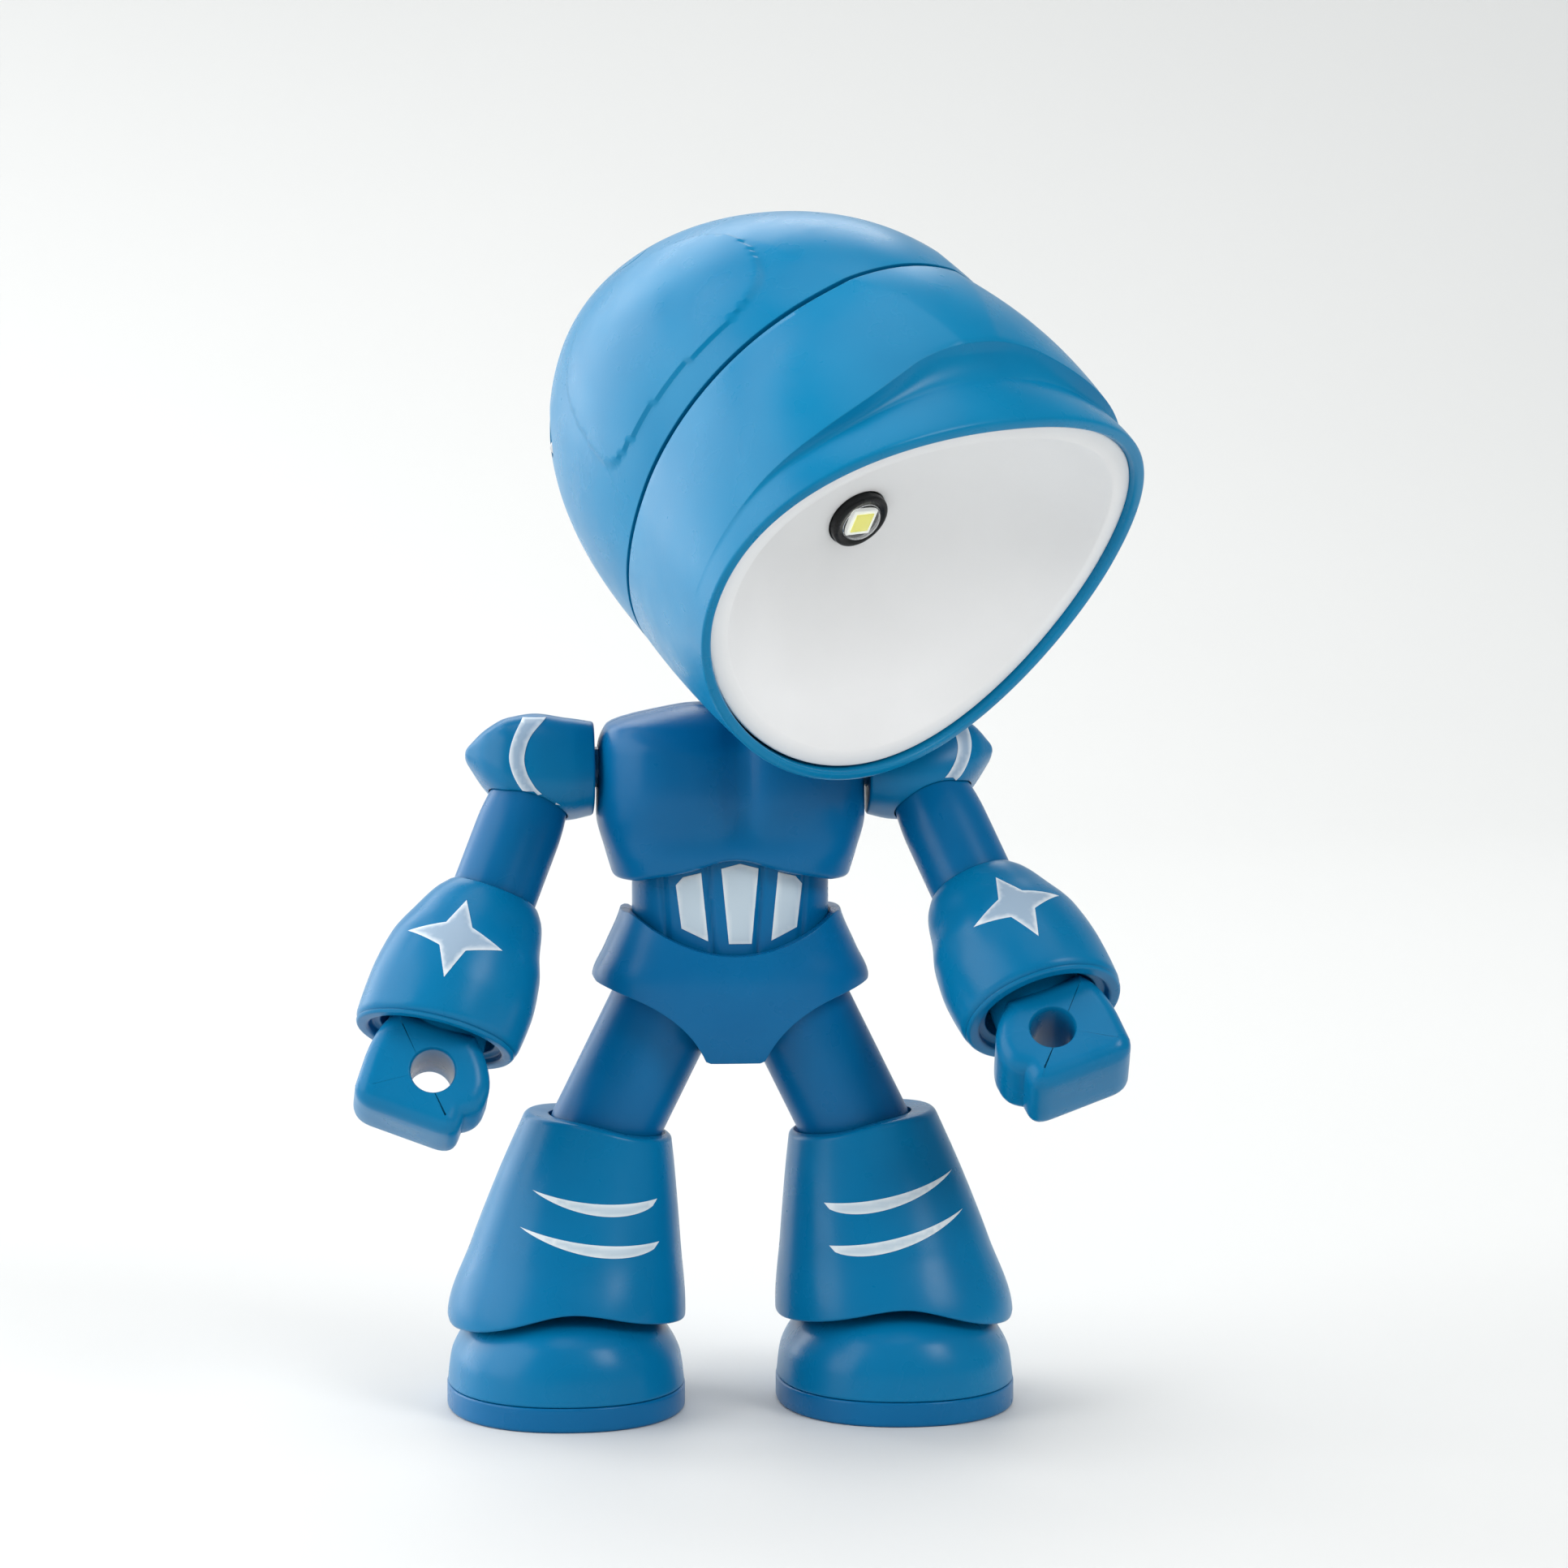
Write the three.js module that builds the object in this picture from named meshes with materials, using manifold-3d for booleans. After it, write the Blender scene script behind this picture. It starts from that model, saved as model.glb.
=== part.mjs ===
// A poseable toy robot whose big head is a battery lamp.
// Millimetres, +Z up. The robot faces -Y, and its own left side is at +X.
import * as THREE from 'three';
import Module from 'manifold-3d';
import { LoftGeometry } from 'three/addons/geometries/LoftGeometry.js';
import { mergeVertices } from 'three/addons/utils/BufferGeometryUtils.js';

const wasm = await Module();
wasm.setup();

// ---------------------------------------------------------------- driving dimensions
const GAP = 0.3; // running gap between neighbouring pieces
const FAR = 60; // a length that is sure to pass right through the robot

const HEAD = {
  centre: [25.77, -38, 119.31], // middle of the lamp opening
  turn: 35.6, // degrees about the vertical, to the robot's left
  nod: 36.1, // degrees, face down
  roll: -3.9,
  wall: 1.6,
  sides: 36,
  seam: 30.63, // depth of the joint between the two shells, behind the opening
  dome: 49.34, // length of the back shell behind the seam
  droop: -9.78, // how far the back of the head hangs below its middle
};
const OPENING = { x: 35.09, top: 31.58, bottom: 29.66, eTop: 2.105, eBottom: 1.995, taper: 0.111 };
const SEAM = { x: 31.0, top: 35.76, bottom: 35.83, eTop: 1.95, eBottom: 2.196, taper: 0.058 };
const SEAM_LIFT = 0.71;
const OPENING_SWEEP = 4.7; // the opening's sides sit this far behind its middle
const BROW = { crest: 12, valley: 7.3, depth: 2.1 };

const LAMP = { bowlDepth: 20.4, bowlWall: 1.2, hole: 4.8, base: 4.5, chip: 3.0 };
const CELL = { radius: 5.1, length: 44, pitch: 10.5, depth: 43, lift: 1.5 };
const COVER = { x: 15, bottom: -20, top: 13 };
const BUTTON = { radius: 3.6, depth: 70.6, drop: -27.3, proud: 1.0 };
const HEAD_SCREW = { x: 20, z: -16, head: 60 };

const NECK = { y: 2, pivot: 115.5, ball: 4.5, post: 3.4, pin: 1.4, pinHalf: 7 };

const CHEST = { bottom: 78.3, shoulder: 94.2, wall: 2, screwX: 8, screwZ: 90 };
const WAIST = { top: 80.1, floor: 66.3, x: 14.4, y: 10.2, peg: 3.5 };
const HIP = { x: 9.3, z: 59.7, ball: 5, peg: 2.2, clear: 8.35 };
const THIGH = { radius: 7.95, length: 21.6, splay: 26.2 };
const KNEE = { clear: 8.45, bend: 27, pin: 1.5 };
const BOOT = { lip: 11.8, arch: 2.9, topTilt: 12, topX: 18.7, topZ: 42.5 };
const FOOT = { x: 24.35, halfX: 17.5, halfY: 22, sole: 3.6, peg: 3 };

const SHOULDER = { x: 27.5, peg: 3 };
const ARM = { tilt: 21, radius: 6.25, length: 23.3, clear: 6.55, pin: 1.2 };
const CUFF = { rim: 2.5, bend: 17, mouth: 9.3, shift: 0.5 };
const HAND = { depth: 13, hole: 3.15, holeX: -1.7, holeAt: 29.4, wrist: 3.5 };
const POSE = { swingRight: 20, swingLeft: 28, bendRight: 4.5, bendLeft: 11.5 };

const BLUE = 0x0b6aa6;
const DEEP_BLUE = 0x085a92;
const WHITE = 0xe6e8ea;
const DARK = 0x1d2022;
const STEEL = 0xb5b8bb;
const BRASS = 0xc8a24a;
const CELL_GREEN = 0x3f7d4c;
const PHOSPHOR = 0xe8e27a;
const CLEAR = 0xf4f8fa;

const rad = THREE.MathUtils.degToRad;

// ---------------------------------------------------------------- solids from geometry
function solid(geometry) {
  const bare = geometry.index ? geometry.toNonIndexed() : geometry.clone();
  bare.deleteAttribute('normal');
  bare.deleteAttribute('uv');
  const merged = mergeVertices(bare, 1e-4);
  const index = merged.index.array;
  const triangles = [];
  for (let i = 0; i < index.length; i += 3) {
    const [a, b, c] = [index[i], index[i + 1], index[i + 2]];
    if (a !== b && b !== c && c !== a) triangles.push(a, b, c);
  }
  return new wasm.Manifold(new wasm.Mesh({
    numProp: 3,
    vertProperties: merged.attributes.position.array,
    triVerts: new Uint32Array(triangles),
  }));
}

function placed(shape, matrix) {
  return solid(geometryOf(shape).applyMatrix4(matrix));
}

function geometryOf(shape) {
  const mesh = shape.getMesh();
  const geometry = new THREE.BufferGeometry();
  geometry.setAttribute('position', new THREE.BufferAttribute(mesh.vertProperties, 3));
  geometry.setIndex(new THREE.BufferAttribute(mesh.triVerts, 1));
  geometry.computeVertexNormals();
  return geometry;
}

function piece(name, shape, color, roughness = 0.38, metalness = 0) {
  const material = new THREE.MeshStandardMaterial({ color, roughness, metalness });
  const mesh = new THREE.Mesh(geometryOf(shape), material);
  mesh.name = name;
  return mesh;
}

function rod(axis, radius, from, to, centre = [0, 0, 0], sides = 16) {
  const geometry = new THREE.CylinderGeometry(radius, radius, to - from, sides);
  geometry.translate(0, (from + to) / 2, 0);
  if (axis === 'x') geometry.rotateZ(-Math.PI / 2);
  if (axis === 'z') geometry.rotateX(Math.PI / 2);
  geometry.translate(...centre);
  return solid(geometry);
}

function ball(radius, centre = [0, 0, 0], sides = 16) {
  const geometry = new THREE.SphereGeometry(radius, sides, sides / 2);
  geometry.rotateX(Math.PI / 2);
  geometry.translate(...centre);
  return solid(geometry);
}

function block(low, high) {
  const size = high.map((value, i) => value - low[i]);
  const middle = high.map((value, i) => (value + low[i]) / 2);
  const geometry = new THREE.BoxGeometry(...size);
  geometry.translate(...middle);
  return solid(geometry);
}

// A rounded outline: x and y are half-widths, e is how square it is.
function outlinePoint(angle, x, y, e) {
  const c = Math.cos(angle);
  const s = Math.sin(angle);
  return [
    x * Math.sign(c) * Math.abs(c) ** (2 / e),
    y * Math.sign(s) * Math.abs(s) ** (2 / e),
  ];
}

// A loft up Z through rounded sections { z, x, y, cx, cy, e, lift }.
function loftUp(sections, sides = 24) {
  const rings = sections.map(({ z, x, y, cx = 0, cy = 0, e = 2, lift = () => 0 }) => {
    const ring = [];
    for (let i = 0; i < sides; i++) {
      const [px, py] = outlinePoint((i / sides) * 2 * Math.PI, x, y, e);
      ring.push(new THREE.Vector3(cx + px, cy + py, z + lift(px, py)));
    }
    return ring;
  });
  return solid(new LoftGeometry(rings, { capStart: true, capEnd: true }));
}

// The space that a rod hanging down from a ball joint sweeps, with its tilt limits in degrees.
function sweep(radius, length, { side = 0, front = 0, back = 0 }) {
  const reach = (degrees, depth) =>
    depth * Math.tan(rad(degrees)) + radius / Math.cos(rad(degrees));
  const sections = [-length, 0].map((z) => ({
    z,
    x: reach(side, -z),
    y: (reach(front, -z) + reach(back, -z)) / 2,
    cy: (reach(back, -z) - reach(front, -z)) / 2,
  }));
  return loftUp(sections, 20);
}

function screw(name, centre, shaftFrom, shaftTo) {
  const shape = rod('y', 1.1, shaftFrom, shaftTo, centre, 12)
    .add(rod('y', 2.0, shaftTo - 0.1, shaftTo + 1.5, centre))
    .subtract(block(
      [centre[0] - 0.3, shaftTo + 0.9, centre[2] - 1.4],
      [centre[0] + 0.3, shaftTo + 2, centre[2] + 1.4],
    ));
  return piece(name, shape, STEEL, 0.3, 1);
}

// ---------------------------------------------------------------- head
// Head frame: x across, y back from the lamp opening, z up through the crown.
function browCut(depth, rise) {
  if (depth <= 0 || depth >= BROW.crest || rise <= 0) return 0;
  const across = THREE.MathUtils.smoothstep(rise, 0.5, 0.8);
  const along = depth < BROW.valley
    ? depth / BROW.valley
    : (BROW.crest - depth) / (BROW.crest - BROW.valley);
  return BROW.depth * across * Math.sqrt(along);
}

function headRing(depth, inset) {
  const mix = THREE.MathUtils.lerp;
  const u = THREE.MathUtils.clamp(depth / HEAD.seam, 0, 1);
  const back = THREE.MathUtils.clamp((depth - HEAD.seam) / (HEAD.dome - inset), 0, 1);
  const shrink = Math.sqrt(1 - back * back);
  const bulge = 0.54 * 4 * u * (1 - u);
  const crown = 2.45 * 4 * u * (1 - u);
  const grow = HEAD.wall * (1 - u) - inset + bulge;
  const x = (mix(OPENING.x, SEAM.x, u) + grow) * shrink;
  const top = (mix(OPENING.top, SEAM.top, u) + grow + crown) * shrink;
  const bottom = (mix(OPENING.bottom, SEAM.bottom, u) + grow) * shrink;
  const eTop = mix(OPENING.eTop, SEAM.eTop, u);
  const eBottom = mix(OPENING.eBottom, SEAM.eBottom, u);
  const taper = mix(OPENING.taper, SEAM.taper, u);
  const lift = SEAM_LIFT * u + HEAD.droop * back ** 1.5;
  const ring = [];
  for (let i = 0; i < HEAD.sides; i++) {
    const angle = (i / HEAD.sides) * 2 * Math.PI;
    const rise = Math.sin(angle);
    const e = rise > 0 ? eTop : eBottom;
    const [px, pz] = outlinePoint(angle, 1, 1, e);
    const height = (rise > 0 ? top : bottom) - browCut(depth, rise);
    const wide = x * (1 + taper * pz);
    const sweepBack = OPENING_SWEEP * (1 - u) * px * px;
    ring.push(new THREE.Vector3(wide * px, depth + sweepBack, height * pz + lift));
  }
  return ring;
}

function headLoft(depths, inset) {
  const rings = [...depths].reverse().map((depth) => headRing(depth, inset));
  return solid(new LoftGeometry(rings, { capStart: true, capEnd: true }));
}

const faceDepths = [0, 7.3, 12, 21, HEAD.seam - GAP / 2];
const hollowDepths = [-3, 0, 3, ...faceDepths.slice(1, -1), HEAD.seam + 2];

function domeDepths(inset) {
  const depths = [];
  for (let degrees = 0; degrees <= 84; degrees += 14) {
    depths.push(HEAD.seam + GAP / 2 + (HEAD.dome - inset - 0.2) * Math.sin(rad(degrees)));
  }
  return depths;
}

const headInside = headLoft([...faceDepths.slice(0, -1), ...domeDepths(HEAD.wall + GAP)],
  HEAD.wall + GAP);

// Where the neck's ball sits, in the head frame.
const headMatrix = new THREE.Matrix4().compose(
  new THREE.Vector3(...HEAD.centre),
  new THREE.Quaternion().setFromEuler(
    new THREE.Euler(rad(HEAD.nod), rad(HEAD.roll), rad(HEAD.turn), 'ZXY')),
  new THREE.Vector3(1, 1, 1),
);
const neckInHead = new THREE.Vector3(0, NECK.y, NECK.pivot)
  .applyMatrix4(headMatrix.clone().invert()).toArray();

// The post swings from upright to a little past its resting tilt, so its slot leans forward.
function neckSlot() {
  const slot = sweep(NECK.post + 0.4, 16, { side: 14, front: 26, back: 24 });
  const lean = new THREE.Matrix4().makeRotationX(rad(-18)).setPosition(...neckInHead);
  return placed(slot, lean).add(ball(NECK.ball + 0.35, neckInHead));
}

function buttonHole(radius, from, to) {
  const turn = new THREE.Matrix4().makeRotationX(rad(-45));
  return placed(rod('y', radius, from, to), turn.setPosition(0, BUTTON.depth, BUTTON.drop));
}

function bowl(margin, back) {
  const profile = [[-2, 1], [1.2, 0.91], [7, 0.8], [13, 0.62], [18, 0.39], [LAMP.bowlDepth, 0.2]];
  const rings = profile.reverse().map(([depth, scale]) => headRing(0, HEAD.wall + GAP)
    .map((p) => new THREE.Vector3(
      p.x * (scale + margin),
      depth + back + p.y * scale * scale,
      p.z * (scale + margin),
    )));
  return solid(new LoftGeometry(rings, { capStart: true, capEnd: true }));
}

function makeHeadShells() {
  const slot = neckSlot();
  const screwAt = [-1, 1].map((side) => [side * HEAD_SCREW.x, 0, HEAD_SCREW.z]);
  const face = headLoft(faceDepths, 0);
  const hollow = headLoft(hollowDepths, HEAD.wall);
  const flange = headLoft([HEAD.seam - 3, HEAD.seam - GAP / 2 - 0.3], HEAD.wall - 0.1)
    .subtract(headLoft([HEAD.seam - 4, HEAD.seam + 1], 13));
  let front = face.subtract(hollow).add(flange).subtract(slot);
  const skin = headLoft(domeDepths(0), 0).subtract(headLoft(
    [HEAD.seam - 1, ...domeDepths(HEAD.wall)], HEAD.wall));
  const whole = headLoft(domeDepths(0), 0);
  let back = skin;
  for (const centre of screwAt) {
    back = back.add(rod('y', 3.2, HEAD.seam + 0.4, FAR + 20, centre).intersect(whole));
  }
  for (const centre of screwAt) {
    front = front.subtract(rod('y', 1.4, 20, HEAD.seam, centre, 12));
    back = back.subtract(rod('y', 1.4, HEAD.seam, FAR, centre, 12))
      .subtract(rod('y', 2.4, HEAD_SCREW.head - 0.3, FAR + 30, centre));
  }
  const window = (margin) => block(
    [-COVER.x - margin, HEAD.seam + 18, COVER.bottom - margin],
    [COVER.x + margin, FAR + 40, COVER.top + margin],
  );
  const cover = skin.intersect(window(0));
  back = back.subtract(window(GAP)).subtract(slot)
    .subtract(buttonHole(BUTTON.radius + GAP, -8, 12));
  return [
    piece('head_front_shell', front, BLUE),
    piece('head_back_shell', back, BLUE),
    piece('battery_cover', cover, BLUE),
    ...screwAt.map((centre, i) => screw(
      i ? 'head_screw_left' : 'head_screw_right', centre, 24.5, HEAD_SCREW.head)),
  ];
}

function makeButton() {
  const cap = placed(
    rod('y', BUTTON.radius, -6, BUTTON.proud).add(rod('y', BUTTON.radius + 1.2, -6, -4.6)),
    new THREE.Matrix4().makeRotationX(rad(-45)).setPosition(0, BUTTON.depth, BUTTON.drop),
  );
  return piece('power_button', cap, DEEP_BLUE);
}

function makeLamp() {
  const middle = [0, 0, 0.5];
  const depth = LAMP.bowlDepth;
  const outline = headLoft([0.9, 3], HEAD.wall + GAP);
  const reflector = outline.add(bowl(0.035, LAMP.bowlWall).intersect(block(
    [-FAR, 1.5, -FAR], [FAR, depth + LAMP.bowlWall, FAR])))
    .intersect(headLoft(hollowDepths, HEAD.wall + GAP))
    .subtract(bowl(0, 0))
    .subtract(rod('y', LAMP.hole, 0, 30, middle));
  const base = rod('y', LAMP.base, depth - 1.2, depth + 1.9, middle);
  const board = rod('y', 8, depth + 2.2, depth + 3.4, middle);
  const half = LAMP.chip / 2;
  const chipBack = depth - 1.2 - GAP;
  const chip = block([-half, chipBack - 0.4, 0.5 - half], [half, chipBack, 0.5 + half]);
  const lens = ball(3.9, [0, chipBack, 0.5])
    .subtract(ball(2.6, [0, chipBack, 0.5]))
    .intersect(block([-5, 0, -5], [5, chipBack, 6]));
  return [
    piece('reflector', reflector, WHITE, 0.35),
    piece('led_base', base, DARK, 0.3),
    piece('led_board', board, WHITE, 0.6),
    piece('led_chip', chip, PHOSPHOR, 0.5),
    piece('led_lens', lens, CLEAR, 0.1),
  ];
}

function makeBatteries() {
  const { radius, length, pitch, depth, lift } = CELL;
  const low = lift - length / 2;
  const high = lift + length / 2;
  const rows = [-1, 0, 1].map((n) => [n * pitch, depth, 0]);
  let tray = block([-16.2, depth - 7, low - 2.4], [16.2, depth, high + 2.4])
    .subtract(block([-15.7, depth - 4, low - 1.4], [15.7, depth + 1, low + 1]))
    .subtract(block([-15.7, depth - 4, high - 1], [15.7, depth + 1, high + 1.4]));
  for (const centre of rows) {
    tray = tray.subtract(rod('z', radius + GAP, low - GAP, high + GAP, centre));
  }
  const cells = rows.map((centre, i) => {
    const shape = rod('z', radius, low, high - 1, centre)
      .add(rod('z', 1.9, high - 1.1, high, centre, 12));
    return piece(`battery_${i + 1}`, shape, CELL_GREEN, 0.4, 0.3);
  });
  const contact = (name, from) => piece(name, block(
    [-15, depth - 3.4, from], [15, depth + 3.4, from + 0.4]), STEEL, 0.3, 1);
  return [
    piece('battery_tray', tray, DARK, 0.6),
    ...cells,
    contact('battery_contact_top', high + GAP),
    contact('battery_contact_bottom', low - GAP - 0.4),
  ];
}

function makeNeckBracket() {
  const [x, y, z] = neckInHead;
  const shape = block([x - 8.5, y - 4.8, z - 6], [x + 8.5, y + 4.8, z + 6.5])
    .intersect(headInside)
    .subtract(rod('x', NECK.pin + GAP, -NECK.pinHalf - GAP, NECK.pinHalf + GAP, neckInHead))
    .subtract(neckSlot());
  return piece('neck_bracket', shape, DARK, 0.5);
}

function makeHead() {
  const head = new THREE.Group();
  head.applyMatrix4(headMatrix);
  head.add(...makeHeadShells(), makeButton(), ...makeLamp(), ...makeBatteries());
  head.add(makeNeckBracket());
  return head;
}

// ---------------------------------------------------------------- neck
function makeNeck() {
  const pivot = [0, NECK.y, NECK.pivot];
  const axis = [0, NECK.y, 0];
  const post = rod('z', NECK.post, 92, NECK.pivot, axis)
    .add(rod('z', 5.6, 98, 99.6, axis))
    .add(rod('z', 5.2, 104.7, 106.2, axis))
    .subtract(ball(NECK.ball + GAP, pivot));
  // The pin lies along the head's sideways axis, so that the head nods about it.
  const lying = new THREE.Matrix4().extractRotation(headMatrix).setPosition(...pivot);
  const joint = placed(
    ball(NECK.ball).add(rod('x', NECK.pin, -NECK.pinHalf, NECK.pinHalf, [0, 0, 0], 12)),
    lying,
  );
  return [piece('neck_post', post, DEEP_BLUE), piece('neck_ball', joint, DEEP_BLUE)];
}

// ---------------------------------------------------------------- torso
const chestSections = [
  { z: CHEST.bottom, x: 17.2, y: 11.8 },
  { z: 82, x: 18.6, y: 12.8 },
  { z: 87.5, x: 19.6, y: 13.3 },
  { z: 97, x: 19.4, y: 12.7 },
  { z: 100.3, x: 18.2, y: 11 },
  { z: 103.5, x: 8.3, y: 5.6 },
].map((section) => ({ ...section, e: 3 }));

function halves(shape) {
  const seam = GAP / 2;
  return [
    shape.intersect(block([-FAR, -FAR, 0], [FAR, -seam, 3 * FAR])),
    shape.intersect(block([-FAR, seam, 0], [FAR, FAR, 3 * FAR])),
  ];
}

function makeChest() {
  const { wall, screwX, screwZ, shoulder } = CHEST;
  const cavity = chestSections.map((section) => ({
    ...section, x: section.x - wall, y: section.y - wall,
  }));
  cavity[0].z = WAIST.top + GAP + 1.4;
  cavity[1].z = WAIST.top + GAP + 2.2;
  cavity.at(-1).z = 101.4;
  cavity.at(-2).z = 99.1;
  cavity.at(-3).z = 96;
  const waistRecess = loftUp([
    { z: CHEST.bottom - 1, x: 16, y: 11.1, e: 2.3 },
    { z: WAIST.top + GAP, x: 16, y: 11.1, e: 2.3 },
  ]);
  let shape = loftUp(chestSections, 24).subtract(loftUp(cavity, 16));
  const screws = [-1, 1].map((side) => [side * screwX, 0, screwZ]);
  for (const centre of screws) {
    shape = shape.add(rod('y', 3.2, -12, 12, centre));
  }
  shape = shape.subtract(waistRecess)
    .subtract(rod('z', WAIST.peg + GAP, 70, 90))
    .subtract(rod('z', NECK.post + GAP, 96, FAR * 2, [0, NECK.y, 0]))
    .subtract(rod('x', SHOULDER.peg + GAP, -FAR, FAR, [0, 0, shoulder]).subtract(
      block([-13, -9, 80], [13, 9, 100])));
  for (const centre of screws) {
    shape = shape.subtract(rod('y', 1.4, -8, 20, centre, 12))
      .subtract(rod('y', 2.3, 10.2, 20, centre));
  }
  const [front, back] = halves(shape);
  return [
    piece('chest_front', front, BLUE),
    piece('chest_back', back, BLUE),
    ...screws.map((centre, i) => screw(
      i ? 'chest_screw_left' : 'chest_screw_right', centre, -7, 10.5)),
  ];
}

const waistSection = { x: WAIST.x, y: WAIST.y, e: 2.3 };

function makeAbdomen() {
  let shape = loftUp([{ z: WAIST.floor, ...waistSection }, { z: WAIST.top, ...waistSection }])
    .subtract(rod('z', WAIST.peg + GAP, 60, 90));
  for (const side of [-1, 1]) {
    shape = shape.subtract(ball(HIP.clear + GAP, [side * HIP.x, 0, HIP.z]));
  }
  return piece('abdomen', shape, BLUE);
}

function makeWaistPeg() {
  const shape = rod('z', WAIST.peg, 68.6, 83).add(rod('z', 6, 82.3, 84.3));
  return piece('waist_peg', shape, DEEP_BLUE);
}

// Front view of the pelvis: crotch, leg cuts, hip corners and the dip that the belly rises from.
function pelvisOutline() {
  const shape = new THREE.Shape();
  shape.moveTo(4.5, 51.9);
  shape.quadraticCurveTo(6.8, 57.8, 14, 61);
  shape.lineTo(20.4, 63.4);
  shape.lineTo(16.1, 73.4);
  shape.lineTo(14.6, 73.2);
  shape.quadraticCurveTo(7.5, 67.7, 0, 67.6);
  shape.quadraticCurveTo(-7.5, 67.7, -14.6, 73.2);
  shape.lineTo(-16.1, 73.4);
  shape.lineTo(-20.4, 63.4);
  shape.lineTo(-14, 61);
  shape.quadraticCurveTo(-6.8, 57.8, -4.5, 51.9);
  shape.closePath();
  return shape;
}

function makePelvis() {
  const front = new THREE.ExtrudeGeometry(pelvisOutline(), {
    depth: 30, bevelEnabled: false, curveSegments: 8,
  });
  front.rotateX(Math.PI / 2).translate(0, 15, 0);
  const body = loftUp([
    { z: 50.5, x: 12, y: 10.6 },
    { z: 54, x: 17, y: 12 },
    { z: 58.5, x: 19.4, y: 12.9 },
    { z: 63.4, x: 20.3, y: 13.2 },
    { z: 68, x: 18.4, y: 12.8 },
    { z: 73.5, x: 16.1, y: 12.3 },
  ].map((section) => ({ ...section, e: 2.6 })), 24);
  let shape = solid(front).intersect(body).subtract(loftUp([
    { z: WAIST.floor - GAP, x: WAIST.x + 0.35, y: WAIST.y + 0.35, e: 2.3 },
    { z: 80, x: WAIST.x + 0.35, y: WAIST.y + 0.35, e: 2.3 },
  ]));
  shape = shape.subtract(rod('x', HIP.peg + GAP, -FAR, FAR, [0, 0, HIP.z], 12).intersect(
    block([-HIP.x, -5, 50], [HIP.x, 5, 70])));
  for (const side of [-1, 1]) {
    const lean = new THREE.Matrix4().makeRotationY(rad(-side * THIGH.splay));
    lean.setPosition(side * HIP.x, 0, HIP.z);
    const path = sweep(HIP.clear, 20, { side: 8, front: 14, back: 14 });
    shape = shape.subtract(ball(HIP.clear, [side * HIP.x, 0, HIP.z]))
      .subtract(placed(path, lean));
  }
  const screwAt = [0, 0, 64.2];
  shape = shape.subtract(rod('y', 1.4, -9, 20, screwAt, 12))
    .subtract(rod('y', 2.3, 9.8, 20, screwAt));
  const [frontHalf, backHalf] = halves(shape);
  return [
    piece('pelvis_front', frontHalf, BLUE),
    piece('pelvis_back', backHalf, BLUE),
    screw('pelvis_screw', screwAt, -8, 10.1),
  ];
}

// ---------------------------------------------------------------- arm, drawn for the +X side
function makePauldron() {
  const lean = new THREE.Matrix4().makeRotationY(rad(-ARM.tilt));
  // Sections across X: place, half height, middle height, half depth.
  const profile = [[-7.2, 6.5, -0.2, 6.6], [-4, 7.1, -0.3, 7.4], [0.5, 7.4, 0.1, 7.7],
    [5, 6.5, 0.45, 7.1], [8.2, 4.2, 1.1, 5.4], [11.2, 0.7, 1.9, 1.4]];
  const sections = profile.map(([x, high, middle, deep]) => ({
    z: x, x: deep, y: high, cy: middle, e: 2.2,
  }));
  // The loft stands on Z with its height along Y; this turn lays it along X.
  const lay = new THREE.Matrix4().makeBasis(
    new THREE.Vector3(0, 1, 0), new THREE.Vector3(0, 0, 1), new THREE.Vector3(1, 0, 0));
  return placed(loftUp(sections, 20), lay)
    .subtract(rod('x', SHOULDER.peg + GAP, -9, -1.6))
    .subtract(placed(rod('z', ARM.radius + GAP, -14, -2.6), lean));
}

function makeShoulderPeg() {
  return rod('x', SHOULDER.peg, -13.4, -2).add(rod('x', 4.0, -13.4, -11.4));
}

function makeUpperArm() {
  const pivot = [0, 0, -ARM.length];
  return rod('z', ARM.radius, -ARM.length, -3, [0, 0, 0], 20)
    .add(ball(ARM.radius, pivot, 20))
    .subtract(rod('x', ARM.pin + GAP, -9, 9, pivot, 12));
}

// Forearm frame: origin at the elbow pin, -Z down the forearm, -Y to the front.
function cuffSections() {
  const profile = [[0, 6.9], [2, 8.3], [6, 9.8], [10.5, 11.4], [16, 12.1], [20.5, 11.9],
    [21.9, 11.0]];
  return profile.reverse().map(([t, radius]) => ({
    z: CUFF.rim - t,
    x: radius,
    y: radius,
    cx: CUFF.shift * THREE.MathUtils.smoothstep(t, 0, 8),
  }));
}

function makeForearm() {
  const up = new THREE.Matrix4().makeRotationX(Math.PI);
  const armPath = placed(sweep(ARM.clear, 6, { back: CUFF.bend }), up);
  const mouth = rod('z', CUFF.mouth, -24, CUFF.rim - 14, [CUFF.shift, 0, 0], 20);
  return loftUp(cuffSections(), 24)
    .subtract(ball(ARM.clear, [0, 0, 0], 20))
    .subtract(armPath)
    .subtract(mouth)
    .subtract(rod('z', HAND.wrist + GAP, -16, CUFF.rim - 10, [CUFF.shift, 0, 0]))
    .subtract(rod('x', ARM.pin + GAP, -7.9, 7.9, [0, 0, 0], 12));
}

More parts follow.
